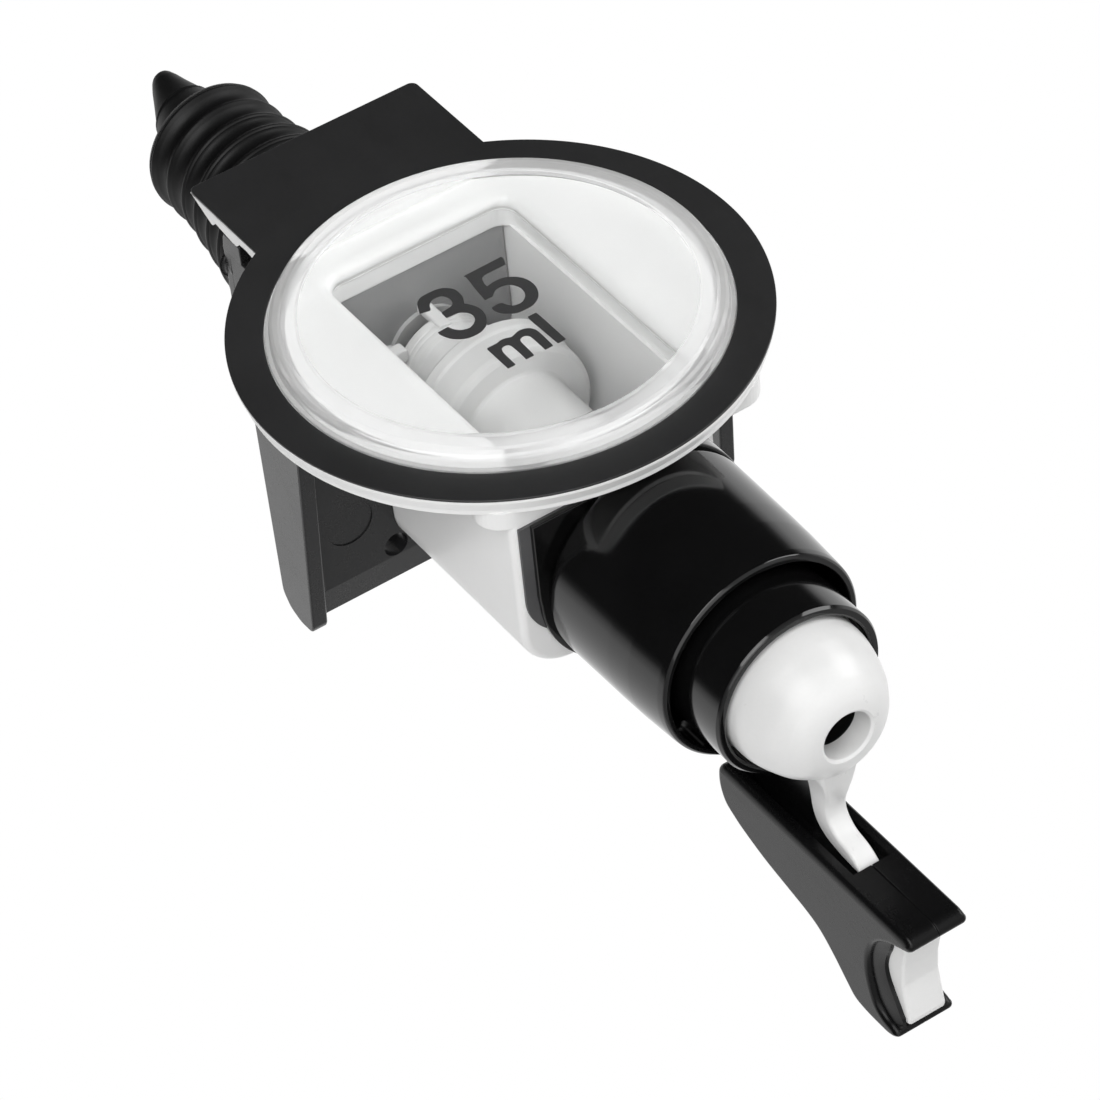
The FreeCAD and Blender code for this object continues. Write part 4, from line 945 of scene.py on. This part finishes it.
for k in range(3):
    a = math.radians(30 + 120 * k)
    def arm_at(u, v, w, a=a):
        return (u * math.cos(a) - v * math.sin(a), VY + u * math.sin(a) + v * math.cos(a), w)
    prism(s, [rect(3.0, 10.2, -0.9, 0.9, 0.2, 3)], -73.2, -69.6, b0=0.2, b1=0.2, fmap=arm_at)
# strap from the nozzle's back down into the lever's channel: (top y, z), (bottom y, z), half width
ST = [((31.0, -79.3), (31.0, -85.3), 3.5), ((33.4, -79.35), (33.4, -85.25), 3.2), ((35.6, -79.4), (35.8, -85.05), 2.6),
      ((38.0, -79.45), (38.2, -84.5), 2.15), ((40.6, -79.55), (40.4, -83.95), 1.95), ((43.0, -79.8), (42.0, -84.0), 1.9),
      ((44.8, -80.5), (43.1, -84.4), 1.9), ((46.2, -81.7), (44.0, -85.1), 1.9), ((47.2, -83.4), (44.7, -85.95), 1.9), ((47.8, -85.4), (45.1, -86.9), 1.9),
      ((48.15, -87.2), (45.35, -88.0), 1.9), ((48.35, -89.0), (45.8, -89.3), 1.9), ((48.45, -90.6), (46.6, -90.6), 1.9), ((48.5, -91.9), (47.6, -91.6), 1.88)]
dense = curve([(a[0], a[1], b[0], b[1], w) for a, b, w in ST], 0.5)
secs = []
for ty, tz, by, bz, w in dense:
    h = math.hypot(ty - by, tz - bz) / 2
    uy, uz = (ty - by) / (2 * h), (tz - bz) / (2 * h)
    cy_, cz_ = (ty + by) / 2, (tz + bz) / 2
    rr = min(0.65, h * 0.8, w * 0.8)
    sec = rounded([(-w, -h), (w, -h), (w, h), (-w, h)], rr, 5)
    secs.append([(p[0], cy_ + uy * p[1], cz_ + uz * p[1]) for p in sec])
count = min(len(x) for x in secs)
secs = [x[:count] for x in secs]
loft(s, secs)
make("nozzle_and_strap", s, ACT, [m_nozzle, m_nozzle_bore_painted_shade], ["outlet_nozzle"])

# ---------------------------------------------------------------------------
# push lever
# ---------------------------------------------------------------------------
LV = [(47.2, -60.9), (48.2, -60.15), (50.4, -59.9), (52.8, -60.3), (54.9, -61.4), (56.3, -63.4), (57.6, -65.9), (59.6, -71.2), (61.0, -76.6), (62.4, -82.0), (63.8, -85.1),
      (66.4, -88.2), (69.5, -91.2), (71.5, -93.4), (72.2, -96.4), (72.35, -100.1), (72.3, -101.9), (71.8, -103.4), (71.1, -104.1), (70.5, -103.9),
      (69.9, -102.7), (69.4, -100.9), (68.2, -99.3), (66.2, -98.4), (63.6, -97.7), (60.9, -97.45), (58.1, -97.8), (55.4, -98.8),
      (53.3, -100.5), (51.9, -102.4), (50.9, -104.2), (50.1, -106.2), (49.4, -107.8), (48.5, -108.5), (47.6, -108.35), (47.0, -107.5)]
lev = curve(LV, 0.5) + [(46.8, -106.6), (46.8, -61.8)]
PAD = [(50.9, -105.2), (57.3, -103.8), (61.6, -103.5), (64.5, -104.0), (68.2, -104.9), (69.2, -104.7), (69.5, -103.4),
       (69.0, -99.5), (67.0, -95.6), (57.0, -94.8), (53.2, -97.4), (51.0, -101.9)]
core = [p for p in lev if p[0] > 48.9 or p[1] < -92.1]
core_top = [(48.9, -60.05)]
i0 = next(i for i, p in enumerate(lev) if p[0] > 48.9)
# outline inside the channel: the front face steps back to y 48.9 above z -92.1, and the pad's pocket is open
front_in = [(46.8, -92.1), (48.9, -92.1), (48.9, -60.05)]


def front_round(p):
    """The long front edge is rounded more broadly than the rest of the outline."""
    t = max(0.0, min(1.0, (48.2 - p[0]) / 1.2))
    return 1.0 + 0.9 * t


def lever_half(side):
    s = Shell()
    x_in, x_ch, x_out = 0.02, 3.4, 5.45
    f = (lambda u, v, w: (w, u, v)) if side > 0 else (lambda u, v, w: (-w, u, v))
    # side wall: the mouth's edge slopes from the outer face down towards the pad
    secs = [(3.4, 0.0, 0.0), (4.0, 0.0, 0.10), (4.3, 0.0, 0.50)]
    secs += [(x_out - 0.95 * (1 - math.sin(q)), 0.95 * (1 - math.cos(q)), 1.0) for q in [math.pi / 2 * k / 9 for k in range(0, 10)]]
    secs += [(x_out, 1.01, 1.0)]
    outline = clean(lev)
    if area(outline) < 0:
        outline = outline[::-1]
    rows = []
    for x, ins, t in secs:
        q = offset(outline, ins) if ins > 0 else outline
        row = []
        for p, r in zip(outline, q):
            g = front_round(p)
            u, v = p[0] + (r[0] - p[0]) * g, p[1] + (r[1] - p[1]) * g
            if 50.6 < p[0] < 70.6 and p[1] < -97.0:
                e = max(0.0, min(1.0, (p[0] - 59.0) / 9.0))
                w = min(1.0, (p[0] - 50.6) / 5.0, (70.6 - p[0]) / 1.3)
                w = w * w * (3 - 2 * w)
                v = min(v, max(v - (2.6 + 2.0 * e * e * (3 - 2 * e)) * (1 - t) * w, -103.9))
            row.append((u, v, x))
        rows.append(row)
    nn = len(outline)
    verts = [f(*p) for row in rows for p in row]
    faces = []
    for i in range(len(rows) - 1):
        for j in range(nn):
            k = (j + 1) % nn
            faces.append((i * nn + j, i * nn + k, (i + 1) * nn + k, (i + 1) * nn + j))
    for i in (0, len(rows) - 1):
        for tri in tessellate_polygon([[Vector((p[0], p[1], 0)) for p in rows[i]]]):
            faces.append(tuple(i * nn + k for k in tri))
    s.add(verts, faces)
    body = [p for p in lev[i0:] if not (abs(p[0] - 46.8) < 1e-6 and p[1] > -92)]
    # cup edge: the inner slab stops at the pad's pocket
    deep = []
    for (y, z) in body:
        if 51.2 < y < 69.3 and z < -93.0:
            deep.append((y, max(z, -97.0 + 0.0 * y) + 0.6))
        else:
            deep.append((y, z))
    prism(s, [deep + front_in], x_in, x_ch, b0=0.16, b1=0.0, seg=3, fmap=f)
    return s


make("lever_left", lever_half(-1), ACT, m_lever, ["lever_shell_left"])
make("lever_right", lever_half(1), ACT, m_lever, ["lever_shell_right"])

s = Shell()
prism(s, [rounded(PAD, [0.8, 2, 3, 3, 1.0, 0.5, 1.0, 2, 1, 1, 1, 1], 6)], -3.42, 3.42, "x", b0=0.6, b1=0.6, seg=6)
make("push_pad", s, ACT, m_nozzle, ["lever_pad"])

s = Shell()
WB = [(37.25, -58.2), (39.0, -57.6), (51.5, -57.6), (51.5, -79.6), (46.8, -79.5), (43.0, -79.2), (40.0, -78.6), (38.4, -77.6), (37.25, -75.6)]
prism(s, [rounded(WB, 0.8, 5)], -1.1, 1.1, "x", b0=0.25, b1=0.25)
make("lever_rib", s, ACT, m_lever, ["lever_web"])

# ---------------------------------------------------------------------------
# return spring with closed end coils
# ---------------------------------------------------------------------------
s = Shell()
zl, zh = -65.68, -39.92
pts = []
TURNS = 7.5
N = 360
for i in range(N + 1):
    u = i / N
    t = u * TURNS
    e = 1.0
    if t < e:
        z = zl + 1.12 * t * 0.5
    elif t > TURNS - e:
        z = zh - 1.12 * (TURNS - t) * 0.5
    else:
        z = zl + 0.56 + (zh - zl - 1.12) * (t - e) / (TURNS - 2 * e)
    a = 2 * math.pi * t
    pts.append((11.4 * math.cos(a), VY + 11.4 * math.sin(a), z))
tube(s, pts, 0.55, 14)
spring = make("return_spring_coil", s, BODY, m_spring, ["return_spring"], sharp=60)
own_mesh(spring)

# ---------------------------------------------------------------------------
# CAD nodes that stay: gaskets, seals, washers, core, tube, stem, screws, dowels
# ---------------------------------------------------------------------------
KEPT = {
    "window_gasket": m_silicone, "lens_gasket": m_silicone, "cap_seal": m_seal, "inlet_seat_washer": m_pale,
    "barrel_gasket": m_seal, "nozzle_o_ring": m_seal, "lower_valve_seal": m_seal, "upper_valve_seal": m_pale,
    "stopper_core": m_inner_painted_shade, "breather_tube": m_inner_painted_shade, "valve_stem": m_inner_painted_shade, "spring_washer": m_inner_painted_shade,
    "bezel_screws": m_steel, "cap_screws": m_steel, "lever_dowels": m_steel,
}
for node, mt in KEPT.items():
    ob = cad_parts[node]
    ob.data.materials.clear()
    ob.data.materials.append(mt)
    ob.data.polygons.foreach_set("use_smooth", [True] * len(ob.data.polygons))
    ob.data.set_sharp_from_angle(angle=math.radians(30))
    ob.data.update()

# ---------------------------------------------------------------------------
# floor, lights, world
# ---------------------------------------------------------------------------
fm = bpy.data.meshes.new("floor")
n = 96
fv = [(0, 0, -0.72)]
ff = []
radii = [0.5, 1.0, 1.6, 2.4, 3.4]
for r in radii:
    for j in range(n):
        a = 2 * math.pi * j / n
        fv.append((r * math.cos(a), r * math.sin(a), -0.72))
for j in range(n):
    ff.append((0, 1 + j, 1 + (j + 1) % n))
for i in range(len(radii) - 1):
    for j in range(n):
        k = (j + 1) % n
        ff.append((1 + i * n + j, 1 + i * n + k, 1 + (i + 1) * n + k, 1 + (i + 1) * n + j))
fm.from_pydata(fv, [], ff)
floor = bpy.data.objects.new("floor", fm)
bpy.context.scene.collection.objects.link(floor)
mt, nt, bs, vec = new_mat("floor_paper")
nt.links.new(ramp(nt, noise(nt, vec, 3.0, 3.0, 0.5), [(0.3, (0.80, 0.80, 0.80)), (0.7, (0.84, 0.84, 0.84))]), bs.inputs["Base Color"])
bs.inputs["Roughness"].default_value = 0.9
out = next(x for x in nt.nodes if x.type == "OUTPUT_MATERIAL")
ln = nt.nodes.new("ShaderNodeVectorMath")
ln.operation = "LENGTH"
nt.links.new(stretch(nt, vec, 1, 1, 0), ln.inputs[0])
fade = span(nt, ln.outputs["Value"], 0.0, 1.0, 1.3, 3.2)
fade = mul(nt, fade, fade)
tr = nt.nodes.new("ShaderNodeBsdfTransparent")
mx = nt.nodes.new("ShaderNodeMixShader")
nt.links.new(fade, mx.inputs[0])
nt.links.new(bs.outputs[0], mx.inputs[1])
nt.links.new(tr.outputs[0], mx.inputs[2])
nt.links.new(mx.outputs[0], out.inputs[0])
fm.materials.append(mt)


def area_light(name, loc, aim, size, size_y, power):
    d = bpy.data.lights.new(name, "AREA")
    d.shape = "RECTANGLE"
    d.size, d.size_y = size, size_y
    d.energy = power
    o = bpy.data.objects.new(name, d)
    bpy.context.scene.collection.objects.link(o)
    v = Vector(aim) - Vector(loc)
    o.rotation_mode = "QUATERNION"
    o.location = loc
    o.rotation_quaternion = v.to_track_quat("-Z", "Y")
    o.visible_camera = False
    return o


area_light("key_front", (-0.62, -1.05, -0.42), (0, 0, -0.02), 0.9, 0.9, 8.8)
area_light("fill_right", (0.95, -0.75, -0.25), (0, 0, -0.02), 0.7, 0.7, 6.5)
area_light("under_left", (-0.30, -0.25, -0.62), (0, 0.0, -0.02), 0.8, 0.8, 2.3)

world = bpy.data.worlds.new("studio")
bpy.context.scene.world = world
world.use_nodes = True
nt = world.node_tree
nt.nodes.clear()
wo = nt.nodes.new("ShaderNodeOutputWorld")
tc = nt.nodes.new("ShaderNodeTexCoord")
rp = nt.nodes.new("ShaderNodeValToRGB")
e = rp.color_ramp.elements
e[0].position, e[0].color = 0.46, (0.04, 0.04, 0.04, 1)
e[1].position, e[1].color = 0.60, (1.0, 1.0, 1.0, 1)
for pos, val in ((0.50, 0.16), (0.54, 0.62)):
    el = e.new(pos)
    el.color = (val, val, val, 1)
dt = nt.nodes.new("ShaderNodeVectorMath")
dt.operation = "DOT_PRODUCT"
nt.links.new(tc.outputs["Generated"], dt.inputs[0])
dt.inputs[1].default_value = (0.26, 0.966, 0.0)
mr = nt.nodes.new("ShaderNodeMapRange")
mr.inputs["From Min"].default_value = -1.0
mr.inputs["From Max"].default_value = 1.0
nt.links.new(dt.outputs["Value"], mr.inputs["Value"])
nt.links.new(mr.outputs[0], rp.inputs[0])
bg = nt.nodes.new("ShaderNodeBackground")
nt.links.new(rp.outputs[0], bg.inputs[0])
bg.inputs[1].default_value = 1.0
wh = nt.nodes.new("ShaderNodeBackground")
wh.inputs[0].default_value = (1, 1, 1, 1)
wh.inputs[1].default_value = 1.0
lp = nt.nodes.new("ShaderNodeLightPath")
mx = nt.nodes.new("ShaderNodeMixShader")
nt.links.new(lp.outputs["Is Camera Ray"], mx.inputs[0])
nt.links.new(bg.outputs[0], mx.inputs[1])
nt.links.new(wh.outputs[0], mx.inputs[2])
nt.links.new(mx.outputs[0], wo.inputs[0])

bpy.context.scene.view_settings.view_transform = "Standard"
bpy.context.scene.view_settings.look = "None"
bpy.context.scene.view_settings.exposure = 0.0
bpy.context.scene.view_settings.gamma = 1.0
